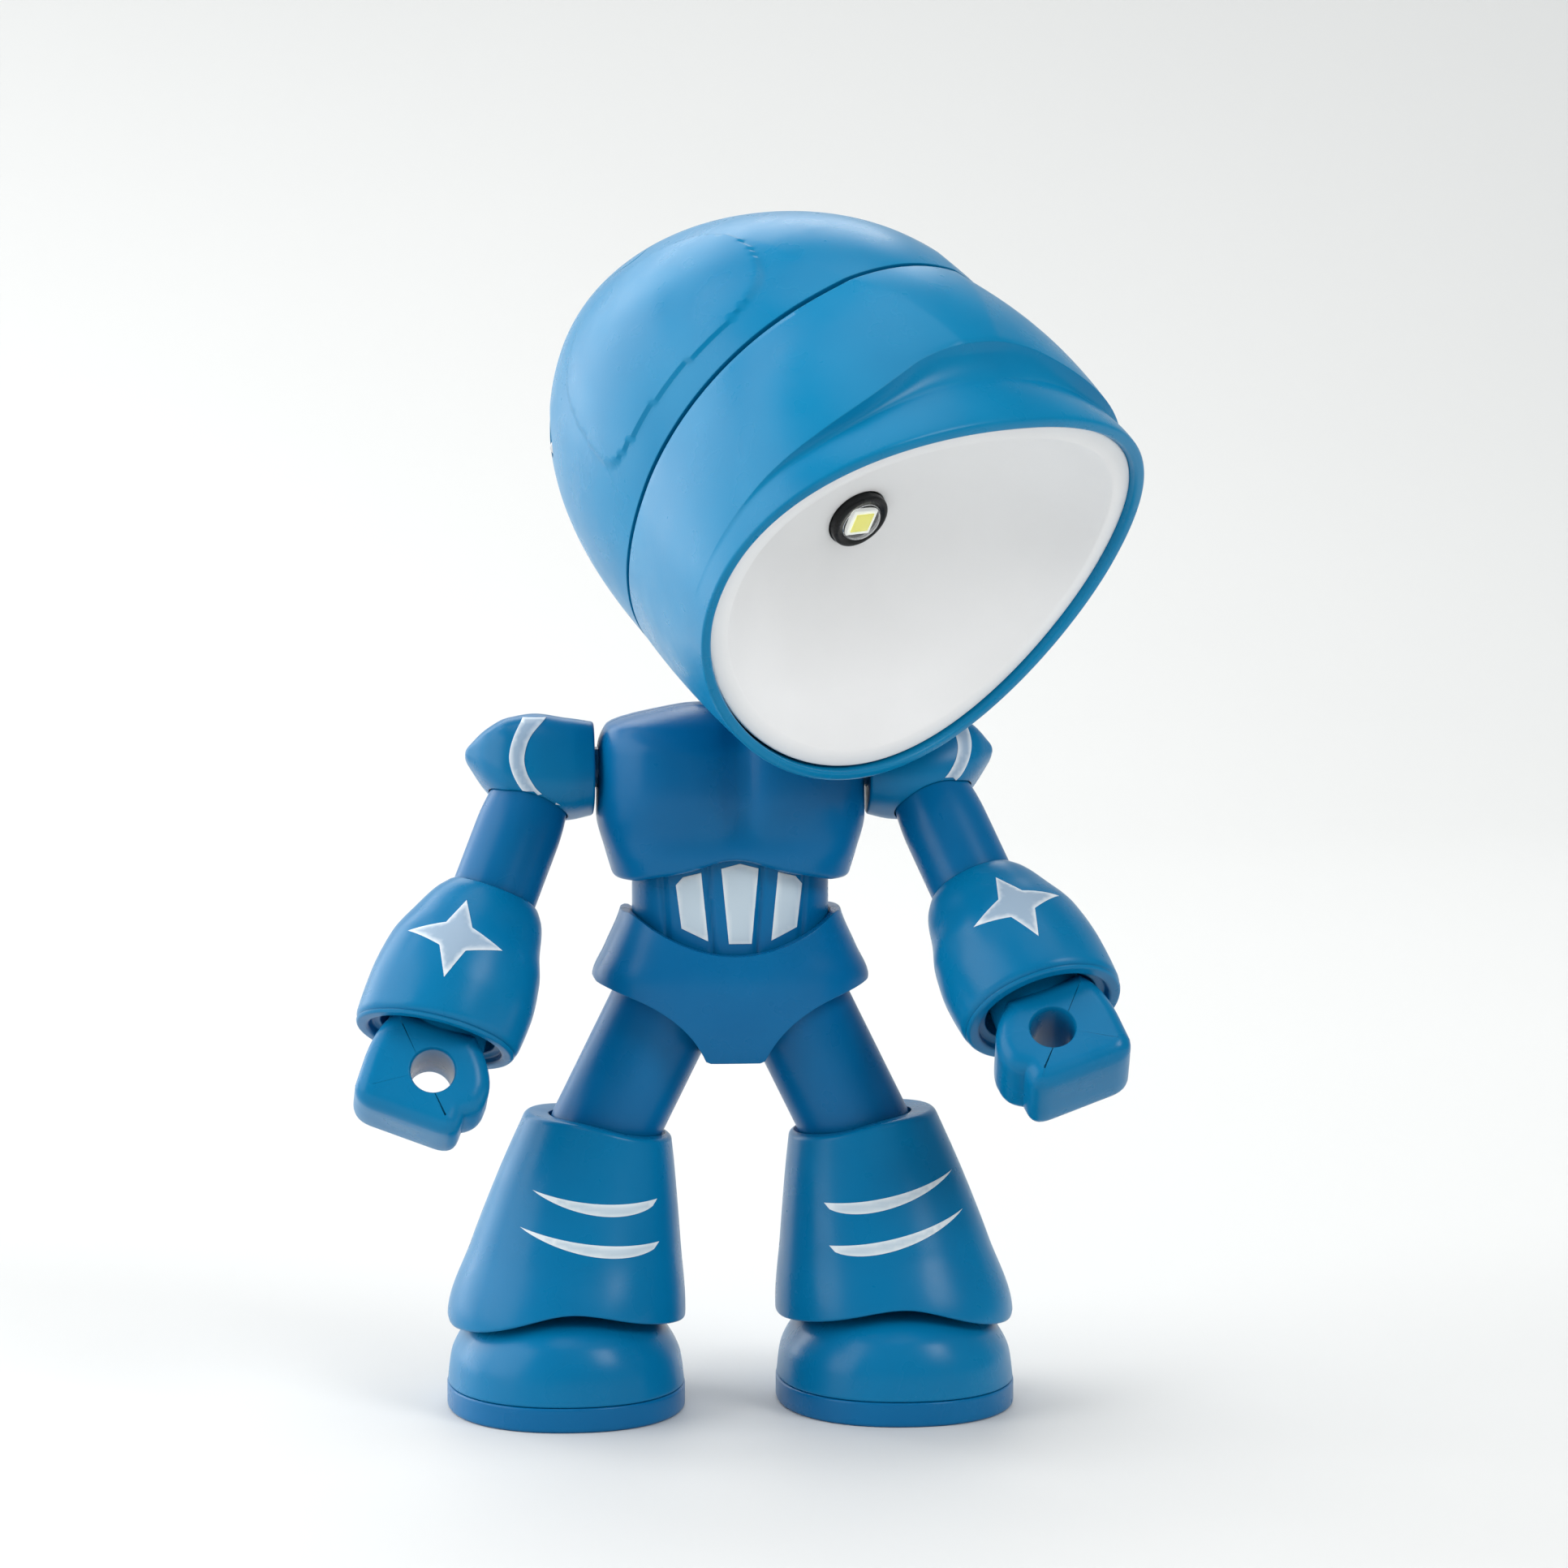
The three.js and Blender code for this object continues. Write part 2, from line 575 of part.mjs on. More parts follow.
// Outline of the fist seen from the front: outer side at +x, t is the distance from the cuff rim.
function fistOutline() {
  const shape = new THREE.Shape();
  shape.moveTo(6.2, -20.5);
  shape.quadraticCurveTo(8.2, -24, 8.2, -30);
  shape.lineTo(8, -35);
  shape.quadraticCurveTo(7.4, -37.8, 4.6, -37.9);
  shape.lineTo(-5.4, -37.9);
  shape.quadraticCurveTo(-8.1, -37.9, -8.1, -35.4);
  shape.lineTo(-8.1, -33.6);
  shape.quadraticCurveTo(-10.3, -32.4, -10.2, -30);
  shape.quadraticCurveTo(-10, -25, -6.2, -20.5);
  shape.closePath();
  return shape;
}

function makeHand() {
  const bevel = 1.4;
  const fist = new THREE.ExtrudeGeometry(fistOutline(), {
    depth: HAND.depth - 2 * bevel,
    bevelEnabled: true,
    bevelThickness: bevel,
    bevelSize: bevel,
    bevelOffset: -bevel,
    bevelSegments: 2,
    curveSegments: 3,
  });
  // Draw plane (x, t) becomes (x, z), and the depth runs from front to back.
  fist.rotateX(Math.PI / 2).translate(0, HAND.depth / 2 - bevel, CUFF.rim);
  const top = CUFF.rim;
  const neck = loftUp([
    { z: top - 25, x: 7.4, y: 6 },
    { z: top - 20, x: 7, y: 5.8 },
    { z: top - 14.5, x: 5.6, y: 5 },
  ]);
  return solid(fist).add(neck)
    .add(rod('z', HAND.wrist, top - 16, top - 10.4))
    .subtract(rod('y', HAND.hole, -FAR, FAR, [HAND.holeX, 0, top - HAND.holeAt], 16));
}

const armShapes = {
  shoulder: makePauldron(),
  shoulder_peg: makeShoulderPeg(),
  upper_arm: makeUpperArm(),
  elbow_pin: rod('x', ARM.pin, -7.5, 7.5, [0, 0, 0], 12),
  forearm: makeForearm(),
  hand: makeHand(),
};

// side is +1 for the robot's left arm and -1 for its right, which is the mirror image.
function makeArm(side) {
  const suffix = side > 0 ? 'left' : 'right';
  const swing = side > 0 ? POSE.swingLeft : POSE.swingRight;
  const bend = side > 0 ? POSE.bendLeft : POSE.bendRight;
  const colours = { shoulder_peg: DEEP_BLUE, elbow_pin: STEEL };
  const make = (part) => piece(`${part}_${suffix}`, armShapes[part], colours[part] ?? BLUE);

  const mirror = new THREE.Group();
  mirror.scale.x = side;
  const shoulder = new THREE.Group();
  shoulder.position.set(SHOULDER.x, 0, CHEST.shoulder);
  shoulder.rotation.x = rad(-swing);
  const arm = new THREE.Group();
  arm.rotation.y = rad(-ARM.tilt);
  const elbow = new THREE.Group();
  elbow.position.z = -ARM.length;
  const forearm = new THREE.Group();
  forearm.rotation.x = rad(-bend);
  const hand = make('hand');
  hand.position.x = CUFF.shift;

  forearm.add(make('forearm'), hand);
  elbow.add(make('elbow_pin'), forearm);
  arm.add(make('upper_arm'), elbow);
  shoulder.add(make('shoulder'), make('shoulder_peg'), arm);
  mirror.add(shoulder);
  return mirror;
}

// ---------------------------------------------------------------- leg, drawn for the +X side
const kneeAt = [
  HIP.x + THIGH.length * Math.sin(rad(THIGH.splay)), 0,
  HIP.z - THIGH.length * Math.cos(rad(THIGH.splay)),
];

function makeHipBall() {
  return ball(HIP.ball).add(rod('x', HIP.peg, 0.3 - HIP.x, 0, [0, 0, 0], 20));
}

// Thigh frame: origin at the hip ball, -Z down the thigh.
function makeThigh() {
  return rod('z', THIGH.radius, -THIGH.length, 0, [0, 0, 0], 20)
    .add(ball(THIGH.radius, [0, 0, -THIGH.length], 20))
    .subtract(ball(HIP.ball + GAP))
    .subtract(block([-12, -12, -2.6], [0, 12, 2]));
}

function bootSections() {
  const lift = (depth) => (px, py) => BOOT.arch * Math.min(1, Math.abs(py) / depth) ** 2;
  return [
    { z: BOOT.lip, x: 16.7, y: 18.6, cx: 24.3, lift: lift(18.6) },
    { z: BOOT.lip + 1.8, x: 17.55, y: 19.4, cx: 24.25, lift: lift(19.4) },
    { z: 24, x: 15.45, y: 15.9, cx: 22.85 },
    { z: 34.5, x: 13, y: 12.8, cx: 21.2 },
    { z: 46, x: 9.4, y: 10.2, cx: 19.1 },
  ].map((section) => ({ ...section, e: 2.2 }));
}

function makeBoot() {
  const tilt = new THREE.Matrix4().makeRotationY(rad(-BOOT.topTilt));
  const above = placed(block([-30, -30, 0], [30, 30, 20]), tilt.setPosition(
    BOOT.topX, 0, BOOT.topZ));
  const hollow = loftUp([
    { z: 9, x: 15.7, y: 20.3, cx: 24.3 },
    { z: 15.5, x: 15.4, y: 18.0, cx: 24.1 },
    { z: 22, x: 11, y: 12, cx: 23.3 },
  ].map((section) => ({ ...section, e: 2.2 })), 22);
  // The thigh leans back in the boot as the knee bends.
  const thighPath = new THREE.Matrix4().makeRotationX(Math.PI);
  thighPath.premultiply(new THREE.Matrix4().makeRotationY(rad(-THIGH.splay)));
  thighPath.setPosition(...kneeAt);
  return loftUp(bootSections(), 24)
    .subtract(above)
    .subtract(hollow)
    .subtract(ball(KNEE.clear, kneeAt, 20))
    .subtract(placed(sweep(KNEE.clear, 12, { front: KNEE.bend, side: 1 }), thighPath))
    .subtract(rod('x', KNEE.pin + GAP, -9, 9, kneeAt, 12))
    .subtract(rod('z', FOOT.peg + GAP, 15, 27, [FOOT.x, 0, 0]));
}

function makeFoot() {
  return loftUp([
    { z: FOOT.sole + GAP, x: FOOT.halfX - 0.1, y: FOOT.halfY - 0.1 },
    { z: 7.5, x: 16.9, y: 21.6 },
    { z: 11.4, x: 14.9, y: 19.9 },
    { z: 14.4, x: 11.6, y: 15.8 },
    { z: 16.8, x: 5.6, y: 7.6 },
  ].map((section) => ({ ...section, cx: FOOT.x, e: 2.2 })), 24)
    .subtract(rod('z', FOOT.peg + GAP, 8, 30, [FOOT.x, 0, 0]));
}

function makeSole() {
  return loftUp([
    { z: 0, x: FOOT.halfX - 0.4, y: FOOT.halfY - 0.4 },
    { z: 0.5, x: FOOT.halfX, y: FOOT.halfY },
    { z: FOOT.sole, x: FOOT.halfX, y: FOOT.halfY },
  ].map((section) => ({ ...section, cx: FOOT.x, e: 2.2 })), 24);
}

const legShapes = {
  hip_ball: makeHipBall(),
  thigh: makeThigh(),
  knee_pin: rod('x', KNEE.pin, -8.5, 8.5, [0, 0, 0], 12),
  boot: makeBoot(),
  ankle_peg: rod('z', FOOT.peg, 8.3, 26.7),
  foot: makeFoot(),
  sole: makeSole(),
};
legShapes.thigh = legShapes.thigh.subtract(placed(
  rod('x', KNEE.pin + GAP, -12, 12, [0, 0, 0], 12),
  new THREE.Matrix4().makeRotationY(rad(THIGH.splay)).setPosition(0, 0, -THIGH.length)));

function makeLeg(side) {
  const suffix = side > 0 ? 'left' : 'right';
  const colours = { hip_ball: DEEP_BLUE, knee_pin: STEEL, ankle_peg: DEEP_BLUE };
  const make = (part, x = 0, y = 0, z = 0) => {
    const mesh = piece(`${part}_${suffix}`, legShapes[part], colours[part] ?? BLUE);
    mesh.position.set(x, y, z);
    return mesh;
  };
  const mirror = new THREE.Group();
  mirror.scale.x = side;
  const thigh = make('thigh', HIP.x, 0, HIP.z);
  thigh.rotation.y = rad(-THIGH.splay);
  mirror.add(thigh, make('hip_ball', HIP.x, 0, HIP.z), make('knee_pin', ...kneeAt));
  mirror.add(make('boot'), make('ankle_peg', FOOT.x), make('foot'), make('sole'));
  return mirror;
}

// ---------------------------------------------------------------- the robot
const robot = new THREE.Group();
robot.add(makeHead(), ...makeNeck(), ...makeChest(), makeAbdomen(), makeWaistPeg());
robot.add(...makePelvis(), makeArm(-1), makeArm(1), makeLeg(-1), makeLeg(1));

// The part's origin is the bottom centre of its box at rest.
const box = new THREE.Box3().setFromObject(robot, true);
const middle = box.getCenter(new THREE.Vector3());
robot.position.set(-middle.x, -middle.y, -box.min.z);

const part = new THREE.Group();
part.add(robot);

export default part;
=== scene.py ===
"""A poseable toy robot whose head is a lamp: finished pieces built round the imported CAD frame.

Shapes are drawn in millimetres in the robot's own frame: +Z up, facing -Y, its left side at +X.
place() turns them into metres in the CAD frame. A side is -1 for the robot's right and 1 for its left,
and each limb is drawn on the left and mirrored.
"""
import math

import bmesh
import bpy
import numpy as np
from mathutils import Matrix, Vector
from mathutils.bvhtree import BVHTree
from mathutils.geometry import delaunay_2d_cdt


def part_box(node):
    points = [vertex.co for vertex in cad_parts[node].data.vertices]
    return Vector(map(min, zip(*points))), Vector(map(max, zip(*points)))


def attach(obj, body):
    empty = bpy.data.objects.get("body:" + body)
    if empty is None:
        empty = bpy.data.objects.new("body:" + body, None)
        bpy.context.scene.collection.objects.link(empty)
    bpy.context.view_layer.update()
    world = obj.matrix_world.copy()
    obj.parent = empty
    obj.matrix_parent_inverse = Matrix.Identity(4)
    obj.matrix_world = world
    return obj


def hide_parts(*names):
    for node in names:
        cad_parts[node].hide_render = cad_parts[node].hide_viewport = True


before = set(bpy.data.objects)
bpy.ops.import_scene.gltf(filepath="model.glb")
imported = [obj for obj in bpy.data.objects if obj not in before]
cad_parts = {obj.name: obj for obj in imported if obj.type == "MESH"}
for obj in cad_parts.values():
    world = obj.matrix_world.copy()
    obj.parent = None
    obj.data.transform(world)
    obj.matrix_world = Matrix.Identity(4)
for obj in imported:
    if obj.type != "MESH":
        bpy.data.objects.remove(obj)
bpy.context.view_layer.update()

MM = 0.001
TAU = 2 * math.pi
X, Y, Z = "XYZ"


def robot_shift():
    """Where the robot's own origin lies in the CAD frame, found from its two hip balls."""
    right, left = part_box("hip_ball_right"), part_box("hip_ball_left")
    return Vector(((right[1].x + left[0].x) / 2, (left[0].y + left[1].y) / 2, 0))


SHIFT = robot_shift()


def turn(degrees, axis):
    return Matrix.Rotation(math.radians(degrees), 4, axis)


def move(x, y, z):
    return Matrix.Translation((x, y, z))


def mirror(side):
    return Matrix.Diagonal((side, 1, 1, 1))


# ---------------------------------------------------------------- curves
def pchip(xs, ys, x):
    """A smooth curve through (xs, ys) that never overshoots, at x."""
    xs, ys = np.asarray(xs, float), np.asarray(ys, float)
    step, slope = np.diff(xs), np.diff(ys) / np.diff(xs)
    tangent = np.zeros_like(ys)
    same = slope[:-1] * slope[1:] > 0
    w1, w2 = 2 * step[1:] + step[:-1], step[1:] + 2 * step[:-1]
    with np.errstate(divide="ignore", invalid="ignore"):
        inner = (w1 + w2) / (w1 / slope[:-1] + w2 / slope[1:])
    tangent[1:-1] = np.where(same, inner, 0)
    tangent[0], tangent[-1] = slope[0], slope[-1]
    x = np.clip(np.asarray(x, float), xs[0], xs[-1])
    i = np.clip(np.searchsorted(xs, x, side="right") - 1, 0, len(xs) - 2)
    t = (x - xs[i]) / step[i]
    h00, h10 = 2 * t**3 - 3 * t**2 + 1, t**3 - 2 * t**2 + t
    h01, h11 = 3 * t**2 - 2 * t**3, t**3 - t**2
    return h00 * ys[i] + h10 * step[i] * tangent[i] + h01 * ys[i + 1] + h11 * step[i] * tangent[i + 1]


def smooth(low, high, x):
    t = np.clip((np.asarray(x, float) - low) / (high - low), 0, 1)
    return t * t * (3 - 2 * t)


def unit_ring(count, e=2.0):
    """A rounded square of half-width 1: e = 2 is a circle and more is squarer."""
    angle = np.arange(count) / count * TAU
    c, s = np.cos(angle), np.sin(angle)
    return np.sign(c) * abs(c) ** (2 / e), np.sign(s) * abs(s) ** (2 / e)


def quarter(count):
    """Angles over a quarter turn."""
    return np.linspace(0, math.pi / 2, count)


def bend(a, b, c, count=9):
    """Points along a curve from a to c that is drawn towards b."""
    t = np.linspace(0, 1, count)[:, None]
    a, b, c = (np.array(p, float) for p in (a, b, c))
    return ((1 - t) ** 2 * a + 2 * t * (1 - t) * b + t * t * c).tolist()


def rounded(points, steps=6):
    """A polyline of (x, y, radius) with its corners rounded."""
    out = []
    for i, (x, y, radius) in enumerate(points):
        here = np.array([x, y], float)
        if not radius or i in (0, len(points) - 1):
            out.append(here)
            continue
        before = np.array(points[i - 1][:2], float) - here
        after = np.array(points[i + 1][:2], float) - here
        reach = min(radius, np.linalg.norm(before) * 0.49, np.linalg.norm(after) * 0.49)
        a = here + before / np.linalg.norm(before) * reach
        b = here + after / np.linalg.norm(after) * reach
        out += bend(a, here, b, steps)
    return np.array(out)


def spline(points, steps, corners=()):
    """A smooth closed curve through the points that stays sharp at the numbered corners."""
    out = []
    count = len(points)
    for i in range(count):
        b, c = np.array(points[i], float), np.array(points[(i + 1) % count], float)
        a = b - (c - b) if i in corners else np.array(points[i - 1], float)
        d = c + (c - b) if (i + 1) % count in corners else np.array(points[(i + 2) % count], float)
        for t in np.arange(steps) / steps:
            out.append(0.5 * (2 * b + (c - a) * t + (2 * a - 5 * b + 4 * c - d) * t**2
                              + (3 * b - a - 3 * c + d) * t**3))
    return np.array(out)


def dense(points, step):
    """The same closed outline with points no further apart than step."""
    points = [np.asarray(p, float) for p in points]
    out = []
    for a, b in zip(points, points[1:] + points[:1]):
        count = max(1, int(math.ceil(np.linalg.norm(b - a) / step)))
        out += [a + (b - a) * k / count for k in range(count)]
    return np.array(out)


def in_polygon(x, y, polygon):
    inside = np.zeros(x.shape, bool)
    for (x1, y1), (x2, y2) in zip(polygon, np.roll(polygon, -1, axis=0)):
        if y1 == y2:
            continue
        crosses = (y1 > y) != (y2 > y)
        inside ^= crosses & (x < (x2 - x1) * (y - y1) / (y2 - y1) + x1)
    return inside


# ---------------------------------------------------------------- meshes
def linked(name, data):
    obj = bpy.data.objects.new(name, data)
    bpy.context.scene.collection.objects.link(obj)
    return obj


def new_object(name, verts, faces):
    mesh = bpy.data.meshes.new(name)
    mesh.from_pydata([tuple(v) for v in verts], [], faces)
    obj = linked(name, mesh)
    bm = bmesh.new()
    bm.from_mesh(mesh)
    bmesh.ops.remove_doubles(bm, verts=bm.verts, dist=1e-5)
    bmesh.ops.recalc_face_normals(bm, faces=bm.faces)
    bm.to_mesh(mesh)
    bm.free()
    return obj


def skin(name, rings, loop=False):
    """A surface through closed rings of points, capped, or with the last ring joined to the first."""
    rings = np.asarray(rings, float)
    count, sides, _ = rings.shape
    verts = rings.reshape(-1, 3).tolist()
    j = np.arange(sides)
    k = (j + 1) % sides
    faces = []
    for i in range(count if loop else count - 1):
        a, b = i * sides, (i + 1) % count * sides
        faces += np.stack([a + j, a + k, b + k, b + j], 1).tolist()
    if not loop:
        for i in (0, count - 1):
            middle = len(verts)
            verts.append(rings[i].mean(0).tolist())
            faces += [[i * sides + a, i * sides + b, middle] for a, b in zip(j.tolist(), k.tolist())]
    return new_object(name, verts, faces)


def level(t, ux, uy):
    return t


def loft(name, profile, at, height, sides, e=2.2, shape=None):
    """A body whose outline changes with height.

    profile holds (inset, t) pairs. height(t, ux, uy) gives each point's z, and at(z) gives the
    half-widths and middle (x, y, cx, cy) there. shape(points) may move the points afterwards.
    """
    ux, uy = unit_ring(sides, e)
    rings = []
    for inset, t in profile:
        z = height(t, ux, uy) + np.zeros(sides)
        x, y, cx, cy = at(z)
        rings.append(np.stack([cx + np.maximum(x - inset, 0.01) * ux,
                               cy + np.maximum(y - inset, 0.01) * uy, z], 1))
    rings = np.array(rings)
    if shape:
        rings = shape(rings)
    return skin(name, rings)


def sections(table):
    """at() for loft, from rows of z, x, y and optional cx, cy."""
    table = np.array([list(row) + [0] * (5 - len(row)) for row in table], float)
    return lambda z: [pchip(table[:, 0], table[:, i], z) for i in (1, 2, 3, 4)]


def ends(low, high, round_low, round_high, step):
    """(inset, t) pairs for a capped body, with rounded ends. t is the height itself."""
    arc = quarter(7)
    bottom = [(round_low * (1 - math.sin(a)), low + round_low * (1 - math.cos(a))) for a in arc]
    top = [(round_high * (1 - math.sin(a)), high - round_high * (1 - math.cos(a))) for a in arc[::-1]]
    count = max(2, int((high - low) / step))
    middle = np.linspace(low + round_low, high - round_high, count + 1)[1:-1]
    return bottom + [(0, z) for z in middle] + top


def lathe(name, profile, axis=Z, sides=96, centre=(0, 0, 0)):
    """A turned body: profile holds (radius, height along the axis)."""
    angle = np.arange(sides) / sides * TAU
    rings = []
    for radius, height in profile:
        r = max(radius, 0.003)
        flat = [r * np.cos(angle), r * np.sin(angle), np.full(sides, float(height))]
        order = {X: (2, 0, 1), Y: (1, 2, 0), Z: (0, 1, 2)}[axis]
        rings.append(np.stack([flat[i] for i in order], 1) + np.array(centre))
    return skin(name, rings)


def rod(axis, radius, low, high, centre=(0, 0, 0)):
    return lathe("cut", [(radius, low), (radius, high)], axis, 72, centre)


def orb(radius, centre=(0, 0, 0)):
    arc = np.linspace(-math.pi / 2, math.pi / 2, 48)
    return lathe("cut", [(radius * math.cos(a), radius * math.sin(a)) for a in arc], Z, 96, centre)


def box(low, high, name="cut"):
    corners = [[x, y, z] for z in (low[2], high[2]) for x, y in
               ((low[0], low[1]), (high[0], low[1]), (high[0], high[1]), (low[0], high[1]))]
    return new_object(name, corners, [[3, 2, 1, 0], [4, 5, 6, 7], [0, 1, 5, 4], [1, 2, 6, 5],
                                      [2, 3, 7, 6], [3, 0, 4, 7]])


def swept(radius, length, side=0.0, front=0.0, back=0.0):
    """The room that a rod hanging from a joint needs when it tilts that many degrees."""
    def reach(degrees, depth):
        return depth * math.tan(math.radians(degrees)) + radius / math.cos(math.radians(degrees))
    ux, uy = unit_ring(96)
    rings = []
    for depth in (length, 0):
        ahead, behind = reach(front, depth), reach(back, depth)
        rings.append(np.stack([reach(side, depth) * ux,
                               (ahead + behind) / 2 * uy + (behind - ahead) / 2,
                               np.full(96, -float(depth))], 1))
    return skin("cut", rings)


def moved(obj, matrix):
    obj.data.transform(matrix)
    if matrix.determinant() < 0:
        obj.data.flip_normals()
    return obj


def volume(mesh):
    bm = bmesh.new()
    bm.from_mesh(mesh)
    size = bm.calc_volume(signed=True)
    bm.free()
    return size


def combine(obj, other, operation="DIFFERENCE"):
    """obj minus, plus or within other, which is used up.

    A solver's answer counts only if its volume is possible for the operation.
    """
    mine, its = volume(obj.data), volume(other.data)
    low, high = {"DIFFERENCE": (1e-3, mine), "INTERSECT": (1e-3, min(mine, its)),
                 "UNION": (max(mine, its), mine + its)}[operation]
    for solver in ("MANIFOLD", "EXACT"):
        modifier = obj.modifiers.new("cut", "BOOLEAN")
        modifier.operation = operation
        modifier.solver = solver
        modifier.object = other
        graph = bpy.context.evaluated_depsgraph_get()
        result = bpy.data.meshes.new_from_object(obj.evaluated_get(graph))
        obj.modifiers.clear()
        if low - 0.01 <= volume(result) <= high + 0.01:
            break
    else:
        raise RuntimeError(f"{operation} of {obj.name} and {other.name} failed")
    obj.data = result
    bpy.data.objects.remove(other)
    return obj


def copied(obj, name):
    twin = obj.copy()
    twin.data = obj.data.copy()
    twin.name = twin.data.name = name
    bpy.context.scene.collection.objects.link(twin)
    return twin


def in_frame(matrix):
    """Turns a place in robot millimetres into one in the CAD frame's metres."""
    return Matrix.Translation(SHIFT) @ Matrix.Scale(MM, 4) @ matrix


def surface(mesh, material, sharp):
    """Gives a mesh its material and smooth shading, with edges over sharp degrees kept sharp."""
    mesh.polygons.foreach_set("use_smooth", [True] * len(mesh.polygons))
    mesh.set_sharp_from_angle(angle=math.radians(sharp))
    mesh.materials.clear()
    mesh.materials.append(material)


def place(obj, matrix, body, nodes, material, sharp=32):
    """Puts a piece into the CAD frame, gives it its material, ties it to its body and hides the CAD
    nodes it stands for.
    """
    moved(obj, in_frame(matrix))
    surface(obj.data, material, sharp)
    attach(obj, body)
    if nodes:
        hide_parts(*nodes)
    return obj


# ---------------------------------------------------------------- materials
def linear(*rgb):
    return [c / 12.92 / 255 if c < 10.3 else ((c / 255 + 0.055) / 1.055) ** 2.4 for c in rgb] + [1]


def material_tools(name):
    material = bpy.data.materials.new(name)
    material.use_nodes = True
    tree = material.node_tree
    tree.nodes.clear()
    out = tree.nodes.new("ShaderNodeOutputMaterial")
    shader = tree.nodes.new("ShaderNodeBsdfPrincipled")
    tree.links.new(shader.outputs["BSDF"], out.inputs["Surface"])
    return material, tree, shader


def add_noise(tree, scale, detail=3.0):
    where = tree.nodes.new("ShaderNodeTexCoord")
    noise = tree.nodes.new("ShaderNodeTexNoise")
    noise.inputs["Scale"].default_value = scale
    noise.inputs["Detail"].default_value = detail
    tree.links.new(where.outputs["Object"], noise.inputs["Vector"])
    return noise.outputs["Fac"]


def add_range(tree, value, low, high):
    spread = tree.nodes.new("ShaderNodeMapRange")
    spread.inputs["From Min"].default_value = 0.3
    spread.inputs["From Max"].default_value = 0.7
    spread.inputs["To Min"].default_value = low
    spread.inputs["To Max"].default_value = high
    tree.links.new(value, spread.inputs["Value"])
    return spread.outputs["Result"]


def add_relief(tree, shader, scale, strength, edge):
    """Rounds the edges by edge metres and adds a fine moulded grain."""
    bevel = tree.nodes.new("ShaderNodeBevel")
    bevel.samples = 6
    bevel.inputs["Radius"].default_value = edge
    bump = tree.nodes.new("ShaderNodeBump")
    bump.inputs["Strength"].default_value = strength
    bump.inputs["Distance"].default_value = 0.0002
    tree.links.new(add_noise(tree, scale, 4), bump.inputs["Height"])
    tree.links.new(bevel.outputs["Normal"], bump.inputs["Normal"])
    tree.links.new(bump.outputs["Normal"], shader.inputs["Normal"])


def two_tone(tree, value, dark, light):
    mix = tree.nodes.new("ShaderNodeMix")
    mix.data_type = "RGBA"
    mix.inputs["A"].default_value = dark
    mix.inputs["B"].default_value = light
    tree.links.new(value, mix.inputs["Factor"])
    return mix.outputs["Result"]


def plastic(name, dark, light, rough=(0.25, 0.34), grain=0.04):
    """Moulded plastic whose colour drifts a little between dark and light."""
    material, tree, shader = material_tools(name)
    drift = two_tone(tree, add_range(tree, add_noise(tree, 45), 0, 1), linear(*dark), linear(*light))
    tree.links.new(drift, shader.inputs["Base Color"])
    tree.links.new(add_range(tree, add_noise(tree, 160), *rough), shader.inputs["Roughness"])
    shader.inputs["Specular IOR Level"].default_value = 0.2
    add_relief(tree, shader, 2600, grain, 0.00025)
    return material


# Painted light: an emission that brightens a part which gives no light of its own.
def painted_glow(material, colour, strength):
    shader = material.node_tree.nodes["Principled BSDF"]
    shader.inputs["Emission Color"].default_value = linear(*colour)
    shader.inputs["Emission Strength"].default_value = strength


def metal(name, colour):
    material, tree, shader = material_tools(name)
    shader.inputs["Base Color"].default_value = linear(*colour)
    shader.inputs["Metallic"].default_value = 1
    tree.links.new(add_range(tree, add_noise(tree, 900), 0.25, 0.4), shader.inputs["Roughness"])
    add_relief(tree, shader, 4000, 0.1, 0.00015)
    return material


def clear_plastic(name):
    material, tree, shader = material_tools(name)
    shader.inputs["Base Color"].default_value = (0.98, 0.99, 1, 1)
    shader.inputs["Transmission Weight"].default_value = 1
    shader.inputs["IOR"].default_value = 1.45
    tree.links.new(add_range(tree, add_noise(tree, 500), 0.02, 0.05), shader.inputs["Roughness"])
    return material


def printed(name, rim, fill):
    """A raised print whose lighter rim is a painted highlight along its raised edge: the 'inside'
    attribute is 0 at its edge and 1 in its middle.
    """
    material, tree, shader = material_tools(name)
    attribute = tree.nodes.new("ShaderNodeAttribute")
    attribute.attribute_name = "inside"
    tree.links.new(two_tone(tree, attribute.outputs["Fac"], linear(*rim), linear(*fill)),
                   shader.inputs["Base Color"])
    tree.links.new(add_range(tree, add_noise(tree, 300), 0.36, 0.46), shader.inputs["Roughness"])
    add_relief(tree, shader, 3000, 0.04, 0.0001)
    return material


LIGHT_BLUE = plastic("light blue plastic", (0, 110, 159), (2, 118, 167))
# The helmet is the same light blue plastic as the hands and boots; its lighter copy is painted
# reflection of the white room round the head.
HELMET_PAINTED_REFLECTION = plastic("helmet plastic with painted reflection", (0, 119, 166), (4, 127, 174))
DEEP_BLUE = plastic("deep blue plastic", (0, 98, 151), (1, 106, 159))
JOINT_BLUE = plastic("joint plastic", (0, 88, 138), (1, 96, 148))
WHITE = plastic("reflector plastic", (236, 236, 236), (241, 241, 241), (0.42, 0.5), 0.02)
BLACK = plastic("lamp holder plastic", (16, 17, 18), (24, 25, 26), (0.22, 0.32))
PHOSPHOR = plastic("phosphor", (214, 208, 92), (226, 222, 120), (0.4, 0.5), 0.05)
CORNER_WHITE = plastic("chip housing", (232, 234, 226), (240, 242, 234), (0.4, 0.5), 0.02)
WRAP = plastic("battery wrap", (52, 118, 74), (60, 128, 82), (0.3, 0.4))
